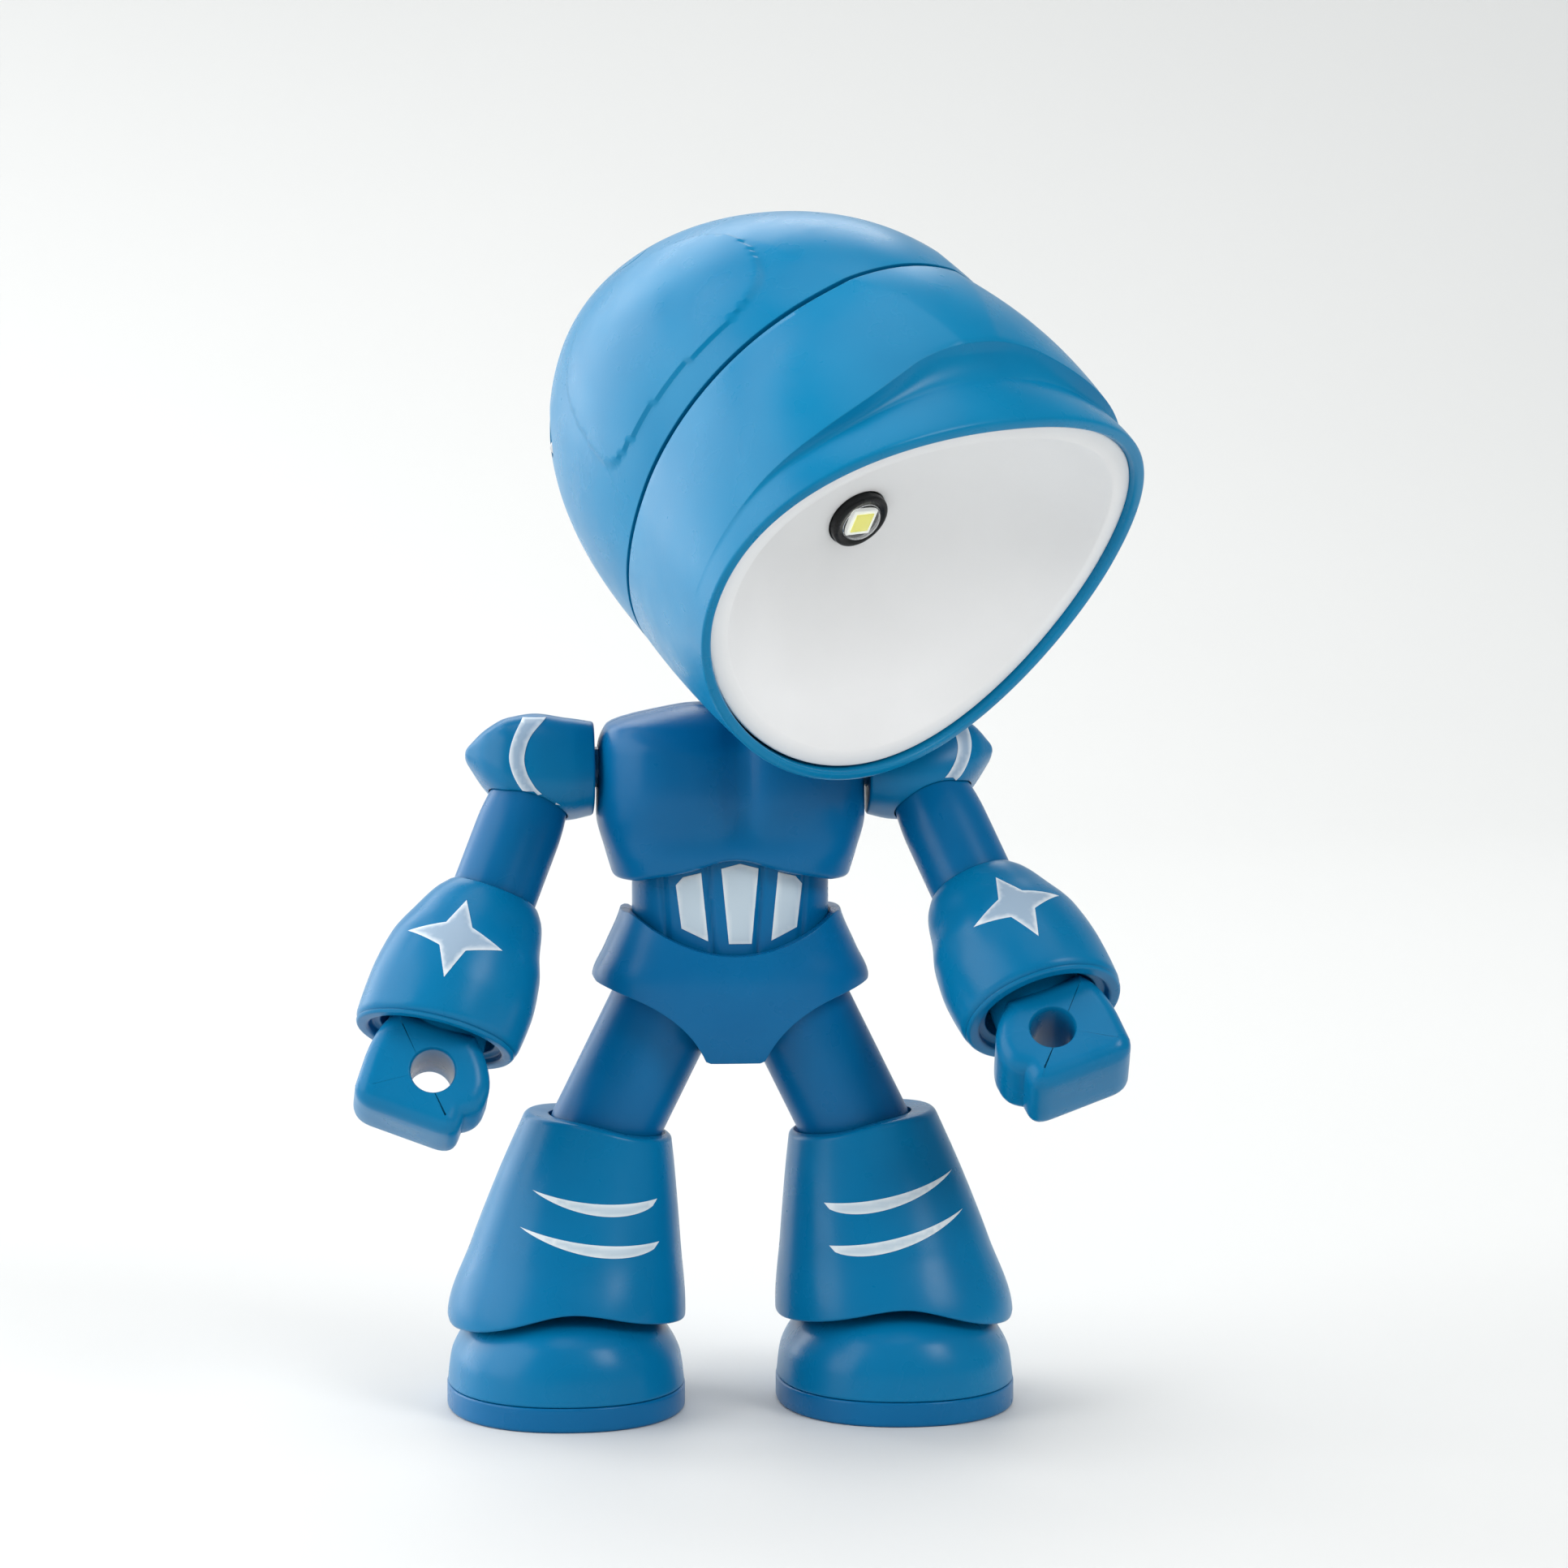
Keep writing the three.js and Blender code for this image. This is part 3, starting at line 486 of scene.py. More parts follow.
STEEL = metal("plated steel", (190, 192, 195))
BRASS = metal("contact brass", (205, 170, 95))
LENS = clear_plastic("clear lens")
# The lamp is unlit: the chip and its housing glow faintly as painted light, making up for the shade of
# the lens and black ring over them.
painted_glow(PHOSPHOR, (250, 244, 120), 0.45)
painted_glow(CORNER_WHITE, (250, 252, 246), 0.5)
# Each mark's rim colour is lighter than its print: a painted highlight along the raised edge.
MARK_PAINTED_RIM_HIGHLIGHT = printed("printed mark", (224, 232, 238), (154, 177, 198))
PANEL_PAINTED_RIM_HIGHLIGHT = printed("printed panel", (226, 234, 238), (194, 210, 220))


# ---------------------------------------------------------------- head
# Lengths run back from the lamp opening: to the seam, and from there on to the back of the dome.
HEAD = move(25.77, -38, 119.31) @ turn(35.6, Z) @ turn(36.1, X) @ turn(-3.9, Y)
SEAM_AT, DOME, DROOP, WALL, GAP = 30.63, 49.34, -9.78, 1.6, 0.3
HEAD_SIDES = 384
NECK_TOP = (0, 2, 115.5)
HEAD_SCREW_X, HEAD_SCREW_Z = 20, -16
BUTTON = move(0, 70.6, -27.3) @ turn(-45, X)
LAMP_MIDDLE = (0, 0, 0.5)

# Brow, by distance from the head's middle: where its crest and the crease below it lie.
BROW_X = [0, 5, 10, 14.5, 20, 25.6, 31.8, 36]
BROW_CREST = [12.2, 12.1, 11.4, 9.9, 8.2, 7.1, 6.2, 4.8]
BROW_CREASE = [7.7, 7.6, 7.4, 7.1, 6.6, 6.0, 5.2, 3.9]
BROW_DEPTH = [2.1, 2.1, 2.1, 2.05, 1.9, 1.2, 0.4, 0]


def head_points(depth, inset):
    """Points of the head's outline at each depth behind the lamp opening. depth is an array."""
    u = np.clip(depth / SEAM_AT, 0, 1)
    back = np.clip((depth - SEAM_AT) / (DOME - inset), 0, 1)
    shrink = np.sqrt(np.maximum(1 - back * back, 0))
    bulge, crown = 0.54 * 4 * u * (1 - u), 2.45 * 4 * u * (1 - u)
    grow = WALL * (1 - u) - inset + bulge
    half = (35.09 + (31.0 - 35.09) * u + grow) * shrink
    top = (31.58 + (35.76 - 31.58) * u + grow + crown) * shrink
    bottom = (29.66 + (35.83 - 29.66) * u + grow) * shrink
    e_top, e_bottom = 2.105 + (1.95 - 2.105) * u, 1.995 + (2.196 - 1.995) * u
    taper = 0.111 + (0.058 - 0.111) * u
    lift = 0.71 * u + DROOP * back**1.5
    angle = np.arange(HEAD_SIDES) / HEAD_SIDES * TAU
    c, s = np.cos(angle), np.sin(angle)
    e = np.where(s > 0, e_top, e_bottom)
    px, pz = np.sign(c) * abs(c) ** (2 / e), np.sign(s) * abs(s) ** (2 / e)
    x = half * (1 + taper * pz) * px
    z = np.where(s > 0, top, bottom) * pz + lift
    return np.stack([x, depth + 4.7 * (1 - u) * px * px, z], -1)


def outward(grid):
    """Unit normals of a grid of points that runs back along the head and round it."""
    along = np.gradient(grid, axis=0)
    around = np.roll(grid, -1, axis=1) - np.roll(grid, 1, axis=1)
    normal = np.cross(around, along)
    normal /= np.maximum(np.linalg.norm(normal, axis=2, keepdims=True), 1e-9)
    middle = grid.mean(axis=1, keepdims=True)
    if ((grid - middle) * normal).sum() < 0:
        normal = -normal
    return normal


def crown_facet(points):
    """The flat panel over the crown has an edge on each side that spreads towards the back."""
    x, depth, z = points[..., 0], points[..., 1], points[..., 2]
    edge = 3 + 6.7 * np.clip((depth - 12) / 19, 0, 1.4)
    drop = 0.55 * (1 - np.exp(-np.maximum(abs(x) - edge, 0) / 3.2))
    fade = smooth(11, 13, depth) * smooth(64, 44, depth) * smooth(10, 22, z)
    return (0.55 - drop) * fade


def brow_lines():
    """Where the brow's crest and crease lie at each angle round the head, and how deep it is."""
    x = abs(head_points(np.full((1, 1), 8.0), 0)[0, :, 0])
    above = np.arange(HEAD_SIDES) < HEAD_SIDES / 2
    depth = np.where(above, pchip(BROW_X, BROW_DEPTH, x), 0)
    return pchip(BROW_X, BROW_CREST, x), pchip(BROW_X, BROW_CREASE, x), depth


def front_shell_grid():
    """Rings from the lamp opening to the seam, laid so that the brow's edges follow them."""
    crest, crease, deep = brow_lines()
    start, stop = 0.5, SEAM_AT - GAP / 2 - 0.25
    rows, cuts = [], []
    for t in np.linspace(0, 1, 17):
        rows.append(start + (crease - start) * t)
        cuts.append(deep * t**1.35)
    for t in 1 - (1 - np.linspace(0, 1, 16)[1:]) ** 1.8:
        rows.append(crease + (crest - crease) * t)
        cuts.append(deep * (1 - t**2.4))
    for t in np.linspace(0, 1, 31)[1:] ** 1.5:
        rows.append(crest + (stop - crest) * t)
        cuts.append(deep * 0)
    depth = np.array(rows)
    grid = head_points(depth, 0)
    normal = outward(grid)
    return grid + normal * (crown_facet(grid) - np.array(cuts))[..., None]


def front_inner_rings():
    """The front shell's inner wall, which steps inwards behind the brow."""
    crest, _, deep = brow_lines()
    rings = []
    for depth in np.linspace(SEAM_AT - 1, 1.5, 18):
        behind = smooth(0.5, 2.5, depth) * smooth(0, 3, crest + 2 - depth)
        rings.append(head_ring(depth, WALL + 0.9 * deep * behind))
    return rings


def head_ring(depth, inset):
    return head_points(np.full((1, 1), float(depth)), inset)[0]


def edge_rings(depth, radius, sign):
    """Rings that turn from the outer wall over a rounded edge to the inner wall."""
    arc = quarter(6)
    near = [(radius * (1 - math.cos(a)), depth - sign * radius * (1 - math.sin(a))) for a in arc]
    far = [(WALL - inset, where) for inset, where in near[::-1]]
    return [head_ring(where, inset) for inset, where in near + far]


def make_front_shell():
    outer = list(front_shell_grid())
    seam = edge_rings(SEAM_AT - GAP / 2, 0.25, 1)
    inner = front_inner_rings()
    rim = edge_rings(0, 0.5, -1)[::-1]
    shell = skin("helmet_front", outer + seam[1:] + inner + rim[:-1], loop=True)
    combine(shell, neck_room())
    combine(shell, orb(7.4, HEAD.inverted() @ Vector(NECK_TOP)))
    place(shell, HEAD, "head", ["head_front_shell"], HELMET_PAINTED_REFLECTION)


def neck_room():
    """The slot under the head that the neck post needs when the head turns, tilts and nods."""
    lean = Matrix.Translation(HEAD.inverted() @ Vector(NECK_TOP)) @ turn(-18, X)
    return moved(swept(4.0, 16, side=14, front=26, back=24), lean)


# The raised leaf on each side of the back shell, as points (x, depth, height) on its outline.
LEAF = [(30.4, 37.1, -3.9), (29.5, 36.8, 11.6), (26.8, 36, 18.9), (23.1, 35.4, 24.6),
        (18.6, 37, 28.8), (15.8, 39.7, 30.2), (12.9, 47.4, 29), (11.2, 56.9, 24.4),
        (13.5, 62.5, 18), (19.2, 65.5, 8), (22, 64.8, 2), (24.2, 62, -2),
        (26.3, 56.7, -3.9), (28.3, 50.4, -3.6), (30.1, 41.3, -2.4)]


def leaf_relief(grid):
    """How far each point of the back shell stands out, for the leaf on both sides."""
    right = grid[:, :, 0] > 0
    outline = []
    for x, back, up in LEAF:
        gap = np.linalg.norm(grid - np.array([x, back, up]), axis=2) + 99 * ~right
        near = np.argsort(gap, axis=None)[:12]
        weight = 1 / (gap.ravel()[near] ** 2 + 0.02)
        outline.append((grid.reshape(-1, 3)[near] * weight[:, None]).sum(0) / weight.sum())
    ring = spline(outline, 12)
    for _ in range(150):
        ring = (np.roll(ring, 1, 0) + 2 * ring + np.roll(ring, -1, 0)) / 4
    lines = np.stack([np.arctan2(ring[:, 0], ring[:, 2]), ring[:, 1]], -1)
    relief = np.zeros(grid.shape[:2])
    points = np.abs(grid[:, :, 0]), grid[:, :, 1], grid[:, :, 2]
    inside = in_polygon(np.arctan2(points[0], points[2]), points[1], lines)
    cloud = np.stack(points, -1).reshape(-1, 3)
    near = np.empty(len(cloud))
    for i in range(0, len(cloud), 4000):
        part = cloud[i:i + 4000, None, :] - ring[None, :, :]
        near[i:i + 4000] = np.sqrt((part**2).sum(2)).min(1)
    near = near.reshape(relief.shape)
    signed = np.where(inside, near, -near)
    return 0.42 * smooth(-0.55, 0.45, signed)


def make_back_shell():
    angles = np.concatenate([np.linspace(0.4, 72, 112), np.linspace(73, 89.6, 22)])
    depth = SEAM_AT + GAP / 2 + (DOME - 0.2) * np.sin(np.radians(angles))
    outer = head_points(depth[:, None], 0)
    normal = outward(outer)
    outer = outer + normal * (leaf_relief(outer) + crown_facet(outer))[..., None]
    inner_depth = SEAM_AT + 1 + (DOME - WALL - 1.2) * np.sin(np.radians(np.linspace(0, 89.3, 34)))
    inner = head_points(inner_depth[::-1, None], WALL)
    whole = skin("helmet_back", list(outer))
    hollow = skin("cut", [head_ring(SEAM_AT - 3, WALL)] + list(inner[::-1]))
    combine(whole, hollow)
    screws = [(side * HEAD_SCREW_X, 0, HEAD_SCREW_Z) for side in (-1, 1)]
    for screw in screws:
        post = rod(Y, 3.2, SEAM_AT + 0.4, 75, screw)
        combine(post, whole_dome(), "INTERSECT")
        combine(whole, post, "UNION")
    cover = copied(whole, "battery_lid")
    combine(cover, window(0), "INTERSECT")
    combine(whole, window(GAP))
    for screw in screws:
        combine(whole, rod(Y, 1.4, SEAM_AT - 1, 75, screw))
        combine(whole, rod(Y, 2.4, 59.7, 90, screw))
    combine(whole, neck_room())
    combine(whole, moved(rod(Y, 3.6 + GAP, -8, 12), BUTTON))
    place(whole, HEAD, "head", ["head_back_shell"], HELMET_PAINTED_REFLECTION)
    place(cover, HEAD, "battery_cover", ["battery_cover"], HELMET_PAINTED_REFLECTION)


def whole_dome():
    depth = SEAM_AT + GAP / 2 + (DOME - 0.2) * np.sin(np.radians(np.linspace(0.4, 89.3, 60)))
    return skin("cut", list(head_points(depth[:, None], 0.05)))


def window(margin):
    """The opening for the battery lid, with rounded corners, seen from the back."""
    x, low, high, r = 15 + margin, -20 - margin, 13 + margin, 3
    corners = [(-x, low, r), (x, low, r), (x, high, r), (-x, high, r)]
    loop = rounded([corners[-1]] + corners + [corners[0]], 8)[1:-1]
    rings = [np.stack([loop[:, 0], np.full(len(loop), float(d)), loop[:, 1]], 1)
             for d in (SEAM_AT + 18, 100)]
    return skin("cut", rings)


def make_button():
    profile = rounded([(0, 1.0, 0), (3.6, 1.0, 0.7), (3.6, -4.6, 0), (4.8, -4.6, 0), (4.8, -6, 0),
                       (0, -6, 0)])
    cap = lathe("switch_cap", profile, Y)
    combine(cap, orb(9, (0, 9.6, 0)))
    place(cap, HEAD @ BUTTON, "power_button", ["power_button"], JOINT_BLUE)


def bowl_rings(profile):
    """Rings from (depth, scale) pairs, where scale 1 fits inside the lamp opening."""
    x, depth, z = head_ring(0, WALL + 0.12).T
    return [np.stack([x * scale, back + depth * scale**2, z * scale + LAMP_MIDDLE[2] * (1 - scale)], 1)
            for back, scale in profile]


def make_reflector():
    fraction = np.linspace(0.9, 0.125, 46)
    curve = pchip([0.1, 0.2, 0.39, 0.62, 0.8, 0.91], [20.6, 20.2, 18, 13, 7, 1.7], fraction)
    land = [(2.6, 1.0), (1.5, 1.0), (1.25, 0.995), (1.2, 0.985), (1.35, 0.95), (1.5, 0.917),
            (1.7, 0.909)]
    front = land + list(zip(curve, fraction))
    back = [(d + 1.2, s + 0.02) for d, s in front[:5:-1]] + [(3.0, 0.97)]
    bowl = skin("lamp_bowl", bowl_rings(front + back), loop=True)
    combine(bowl, rod(Y, 4.65, 0, 40, LAMP_MIDDLE))
    place(bowl, HEAD, "head", ["reflector"], WHITE, 40)


def make_light():
    lamp = HEAD @ move(*LAMP_MIDDLE)
    ring = rounded([(0, 19.9, 0), (2.4, 19.9, 0.3), (3.9, 19.1, 0.5), (4.5, 19.3, 0.4), (4.5, 22.3, 0),
                    (0, 22.3, 0)])
    place(lathe("lamp_holder", ring, Y), lamp, "head", ["led_base"], BLACK)
    chip = box((-1.5, 19.0, -1.5), (1.5, 19.8, 1.5), "light_chip")
    place(chip, lamp, "head", ["led_chip"], PHOSPHOR)
    tray = box((-2.1, 19.2, -2.1), (2.1, 20.2, 2.1), "chip_housing")
    place(tray, lamp, "head", [], CORNER_WHITE)
    arc = quarter(24)
    dome = [(3.1 * math.sin(a), 19.3 - 1.5 * math.cos(a)) for a in arc]
    inner = [(2.95 * math.sin(a), 19.3 - 1.38 * math.cos(a)) for a in arc[::-1]]
    place(lathe("lamp_lens", dome + inner, Y), lamp, "head", ["led_lens"], LENS)


# ---------------------------------------------------------------- torso
SHOULDER_Z = 94.2
HIP_X, HIP_Z = 9.3, 59.7
HIP_BALL, HIP_SOCKET = 8.35, 8.65
LEG_LEAN, ARM_LEAN = 26.2, 21
THIGH, UPPER_ARM = 21.6, 23.3


def relief(points, height):
    """Moves front points (negative y) outwards by height(x, z) millimetres."""
    out = points.copy()
    front = smooth(3, 9, -points[..., 1])
    out[..., 1] -= height(points[..., 0], points[..., 2]) * front
    return out


def chest_relief(x, z):
    pec = np.exp(-((abs(x) - 9.2) / 6.6) ** 4) * np.exp(-((z - 94.2) / 6.2) ** 4)
    groove = np.exp(-((x - 0.9) / 2.1) ** 2) * smooth(83, 89, z) * smooth(104, 100, z)
    waist = np.exp(-((z - 85.2) / 2.8) ** 2)
    return 0.9 * pec - 1.3 * groove - 0.5 * waist


def place_halves(front, body, front_name, front_node, back_name, back_node):
    """Cuts a torso piece along its joint line and places both halves on one body."""
    back = copied(front, back_name)
    front.name = front_name
    combine(front, box((-60, -60, -10), (60, -GAP / 2, 200)), "INTERSECT")
    combine(back, box((-60, GAP / 2, -10), (60, 60, 200)), "INTERSECT")
    place(front, Matrix(), body, [front_node], DEEP_BLUE)
    place(back, Matrix(), body, [back_node], DEEP_BLUE)


def make_chest():
    at = sections([(76, 16.6, 11.4), (78.3, 17.2, 11.8), (82, 18.3, 12.8), (87.5, 19.6, 13.3),
                   (97, 19.4, 12.7), (100.3, 18.2, 11.0), (103.5, 8.3, 5.6)])

    def height(t, ux, uy):
        wave = 2.4 * np.exp(-(ux / 0.36) ** 2) * smooth(0.5, 0.95, abs(uy))
        return t + (wave + 0.9) * smooth(0.7, 1, abs(uy)) * smooth(86, 78, t)

    body = loft("torso", ends(78.3, 103.5, 0.7, 2.2, 0.5), at, height, 288, 3.0,
                lambda rings: relief(rings, chest_relief))
    combine(body, loft("cut", ends(80.4 + GAP, 101.3, 0.1, 0.1, 1.0),
                       lambda z: [v - s for v, s in zip(at(z), (2, 2, 0, 0))],
                       level, 96, 3.0))
    recess = sections([(70, 16, 11.1), (83, 16, 11.1)])
    combine(body, loft("cut", [(0, 70), (0, 82.4)], recess, level, 96, 2.3))
    combine(body, rod(Z, 3.8, 70, 90))
    combine(body, rod(Z, 3.7, 96, 120, (0, 2, 0)))
    combine(body, rod(X, 3.3, -60, 60, (0, 0, SHOULDER_Z)))
    for x in (-8, 8):
        combine(body, rod(Y, 2.3, 10.2, 20, (x, 0, 90)))
    place_halves(body, "chest", "chest_plate", "chest_front", "back_plate", "chest_back")


def make_abdomen():
    at = sections([(66.3, 14.4, 10.2), (82.0, 14.4, 10.2)])

    def grooves(x, z):
        seams = sum(np.exp(-((abs(x) - (c + 0.07 * (z - 74))) / 0.45) ** 2) for c in (3.5, 10.0))
        return -0.5 * seams

    body = loft("belly", ends(66.3, 82.0, 0.3, 0.3, 0.6), at, level, 320, 2.3,
                lambda rings: relief(rings, grooves))
    for side in (-1, 1):
        combine(body, orb(HIP_SOCKET, (side * HIP_X, 0, HIP_Z)))
    combine(body, rod(Z, 3.8, 60, 90))
    place(body, Matrix(), "pelvis", ["abdomen"], DEEP_BLUE)
    return body


def pelvis_outline():
    """Front view of the pelvis, right half from the crotch up, then mirrored."""
    leg_line = bend((4.3, 52.1), (6.9, 58.0), (14, 61), 14)
    belly_line = bend((14.6, 73.2), (7.5, 67.7), (0, 67.6), 14)
    half = [[3.6, 51.8]] + leg_line + [[19.9, 63.2], [20.4, 63.8]]
    half += [[16.6, 73.0], [16.1, 73.4], [15.2, 73.4]] + belly_line
    return half + [[-x, z] for x, z in half[-2::-1]]


def make_pelvis():
    outline = np.array(pelvis_outline())
    cutout = prism("cut", outline, -16, 16)
    at = sections([(49, 10, 9.8), (50.5, 12, 10.6), (54, 17, 12), (58.5, 19.4, 12.9),
                   (63.4, 20.3, 13.2), (68, 18.4, 12.8), (73.5, 16.1, 12.3), (75, 15.8, 12.1)])
    body = loft("hips", ends(50.2, 74.5, 0.2, 0.2, 0.8), at, level, 240, 2.6)
    combine(body, cutout, "INTERSECT")
    seat = sections([(60, 14.75, 10.55), (90, 14.75, 10.55)])
    combine(body, loft("cut", [(0, 66.0), (0, 85)], seat, level, 128, 2.3))
    bore = combine(rod(X, 2.5, -60, 60, (0, 0, HIP_Z)), box((-HIP_X, -5, 50), (HIP_X, 5, 70)),
                   "INTERSECT")
    combine(body, bore)
    for side in (-1, 1):
        lean = mirror(side) @ move(HIP_X, 0, HIP_Z) @ turn(-LEG_LEAN, Y)
        combine(body, orb(HIP_BALL, (side * HIP_X, 0, HIP_Z)))
        combine(body, moved(swept(HIP_BALL, 24, side=8, front=14, back=14), lean))
    combine(body, rod(Y, 2.3, 9.8, 20, (0, 0, 64.2)))
    place_halves(body, "pelvis", "hip_plate", "pelvis_front", "seat_plate", "pelvis_back")


def prism(name, outline, low, high):
    """A flat outline of (x, z) points made solid from y = low to y = high."""
    count = len(outline)
    verts = [[x, low, z] for x, z in outline] + [[x, high, z] for x, z in outline]
    faces = [list(range(count)), list(range(2 * count - 1, count - 1, -1))]
    faces += [[i, (i + 1) % count, count + (i + 1) % count, count + i] for i in range(count)]
    return new_object(name, verts, faces)


# ---------------------------------------------------------------- arms
# How far each arm is swung forward and its elbow bent, by side.
ARM_POSE = {-1: (20, 4.5), 1: (28, 11.5)}
NAMES = {-1: "right", 1: "left"}
SHOULDER_X = 27.5
CUFF_TOP = 2.5
# The cuff's outline as (distance below its top, radius).
CUFF_LINE = [(0, 6.9), (2, 8.3), (6, 9.8), (10.5, 11.4), (16, 12.1), (20.5, 11.9), (21.9, 11.0)]


def arm_frames(side):
    swing, elbow = ARM_POSE[side]
    shoulder = mirror(side) @ move(SHOULDER_X, 0, SHOULDER_Z) @ turn(-swing, X)
    arm = shoulder @ turn(-ARM_LEAN, Y)
    forearm = arm @ move(0, 0, -UPPER_ARM) @ turn(-elbow, X)
    return shoulder, arm, forearm


def make_pauldron(name):
    table = [(-7.5, 6.6, 6.5, 0, -0.2), (-4, 7.4, 7.1, 0, -0.3), (0.5, 7.7, 7.4, 0, 0.1),
             (5, 7.1, 6.5, 0, 0.45), (8.2, 5.4, 4.2, 0, 1.1), (11.2, 1.4, 0.7, 0, 1.9)]
    body = loft(name, ends(-7.45, 11.2, 0.35, 0.5, 0.4), sections(table), level, 160, 2.8)
    lay = Matrix(((0, 0, 1, 0), (1, 0, 0, 0), (0, 1, 0, 0), (0, 0, 0, 1)))
    moved(body, lay)
    combine(body, rod(X, 3.3, -9, -1.6))
    socket = rounded([(0, -2.5, 0), (5.95, -2.5, 0), (5.95, -5, 0), (6.45, -9, 0), (6.45, -14, 0),
                      (0, -14, 0)])
    combine(body, moved(lathe("cut", socket), turn(-ARM_LEAN, Y)))
    return body


def make_arm_tube(name):
    profile = rounded([(0, -2.7, 0), (5.75, -2.7, 0.4), (5.75, -5, 2), (6.25, -9, 2),
                       (6.25, -UPPER_ARM, 0)]).tolist()
    profile += [(6.25 * math.cos(a), -UPPER_ARM - 6.25 * math.sin(a)) for a in quarter(20)[1:]]
    return lathe(name, profile, Z, 128)


def make_cuff(name):
    line = np.array(CUFF_LINE)
    t = np.linspace(0.25, 21.5, 60)
    outer = [(float(r), CUFF_TOP - float(h)) for h, r in zip(t, pchip(line[:, 0], line[:, 1], t))]
    corner = rounded([(11.62, -19, 0), (11.35, -19.5, 0.7), (9.75, -19.5, 0.5), (9.6, -18.3, 0.3),
                      (8.3, -18.2, 0.3), (8.3, -10.6, 0), (3.8, -10.6, 0), (3.8, -7.4, 0), (0, -7.4, 0)])
    profile = [(0, CUFF_TOP), (6.7, CUFF_TOP)] + outer + corner.tolist()
    angle = np.arange(160) / 160 * TAU
    rings = []
    for r, z in profile:
        x = max(r, 0.004) * np.cos(angle) + 0.5 * smooth(0, 8, CUFF_TOP - z)
        droop = 2.6 * (x + 11.5) / 23 * smooth(-8, -19, z)
        rings.append(np.stack([x, max(r, 0.004) * np.sin(angle), z - droop], 1))
    body = skin(name, rings)
    combine(body, orb(6.55))
    combine(body, rod(X, 1.35, -7.7, 7.7))
    combine(body, moved(swept(6.55, 6, back=17), turn(180, X)))
    return body


def fist_outline():
    """The fist from the front, in forearm millimetres: +x is the outer side."""
    outer = bend((5.8, -22), (8.2, -24.4), (8.2, -30)) + bend((8, -34.6), (7.4, -37.1), (4.6, -37.2))
    lower = bend((-5.0, -37.2), (-8.1, -37.2), (-8.1, -35.0), 8)
    knuckle = bend((-8.1, -33.6), (-10.3, -32.4), (-10.2, -30))
    return np.array(outer + lower + knuckle + bend((-10.2, -29), (-9.8, -25.8), (-5.6, -22)))


def make_fist(name):
    half_depth, radius = 6.5, 2.4
    ring = dense(fist_outline() + [0, CUFF_TOP], 0.6)
    rings = []
    for inset, y in ends(-half_depth, half_depth, radius, radius, 3):
        x, z = inset_outline(ring, inset).T
        rings.append(np.stack([x, np.full(len(x), y), z], 1))
    body = skin(name, rings)
    neck = loft("cut", ends(-22.5, -12, 0.2, 0.6, 1.5),
                sections([(-22.5, 7.4, 6), (-17.5, 7, 5.8), (-12, 5.6, 5)]), level, 96)
    combine(body, neck, "UNION")
    combine(body, rod(Z, 3.5, -13.5, -7.9), "UNION")
    hole = lathe("cut", rounded([(0, -9, 0), (3.9, -9, 0), (3.9, -7.3, 0), (3.15, -6.1, 0.6),
                                 (3.15, 6.1, 0.6), (3.9, 7.3, 0), (3.9, 9, 0), (0, 9, 0)]), Y, 96,
                 (-1.7, 0, -26.7))
    combine(body, hole)
    return body


def inset_outline(ring, inset):
    """The outline moved inwards by inset along its own normals, smoothed at the corners."""
    tangent = np.roll(ring, -3, axis=0) - np.roll(ring, 3, axis=0)
    normal = np.stack([tangent[:, 1], -tangent[:, 0]], 1)
    normal /= np.maximum(np.linalg.norm(normal, axis=1, keepdims=True), 1e-9)
    if ((ring - ring.mean(0)) * normal).sum() > 0:
        normal = -normal
    return ring + normal * inset


def make_arm(side):
    name = NAMES[side]
    shoulder, arm, forearm = arm_frames(side)
    cap = make_pauldron(f"shoulder_cap_{name}")
    place(cap, shoulder, f"arm_{name}", [f"shoulder_{name}"], LIGHT_BLUE)
    tube = make_arm_tube(f"arm_tube_{name}")
    place(tube, arm, f"arm_{name}", [f"upper_arm_{name}"], DEEP_BLUE)
    cuff = make_cuff(f"gauntlet_{name}")
    place(cuff, forearm, f"forearm_{name}", [f"forearm_{name}"], LIGHT_BLUE)
    fist = make_fist(f"fist_{name}")
    place(fist, forearm @ move(0.5, 0, 0), f"hand_{name}", [f"hand_{name}"],
          LIGHT_BLUE)
    return cap, cuff


# ---------------------------------------------------------------- legs
KNEE_X = HIP_X + THIGH * math.sin(math.radians(LEG_LEAN))
KNEE_Z = HIP_Z - THIGH * math.cos(math.radians(LEG_LEAN))
KNEE_BALL, KNEE_SOCKET = 7.95, 8.45
FOOT_X = 24.35


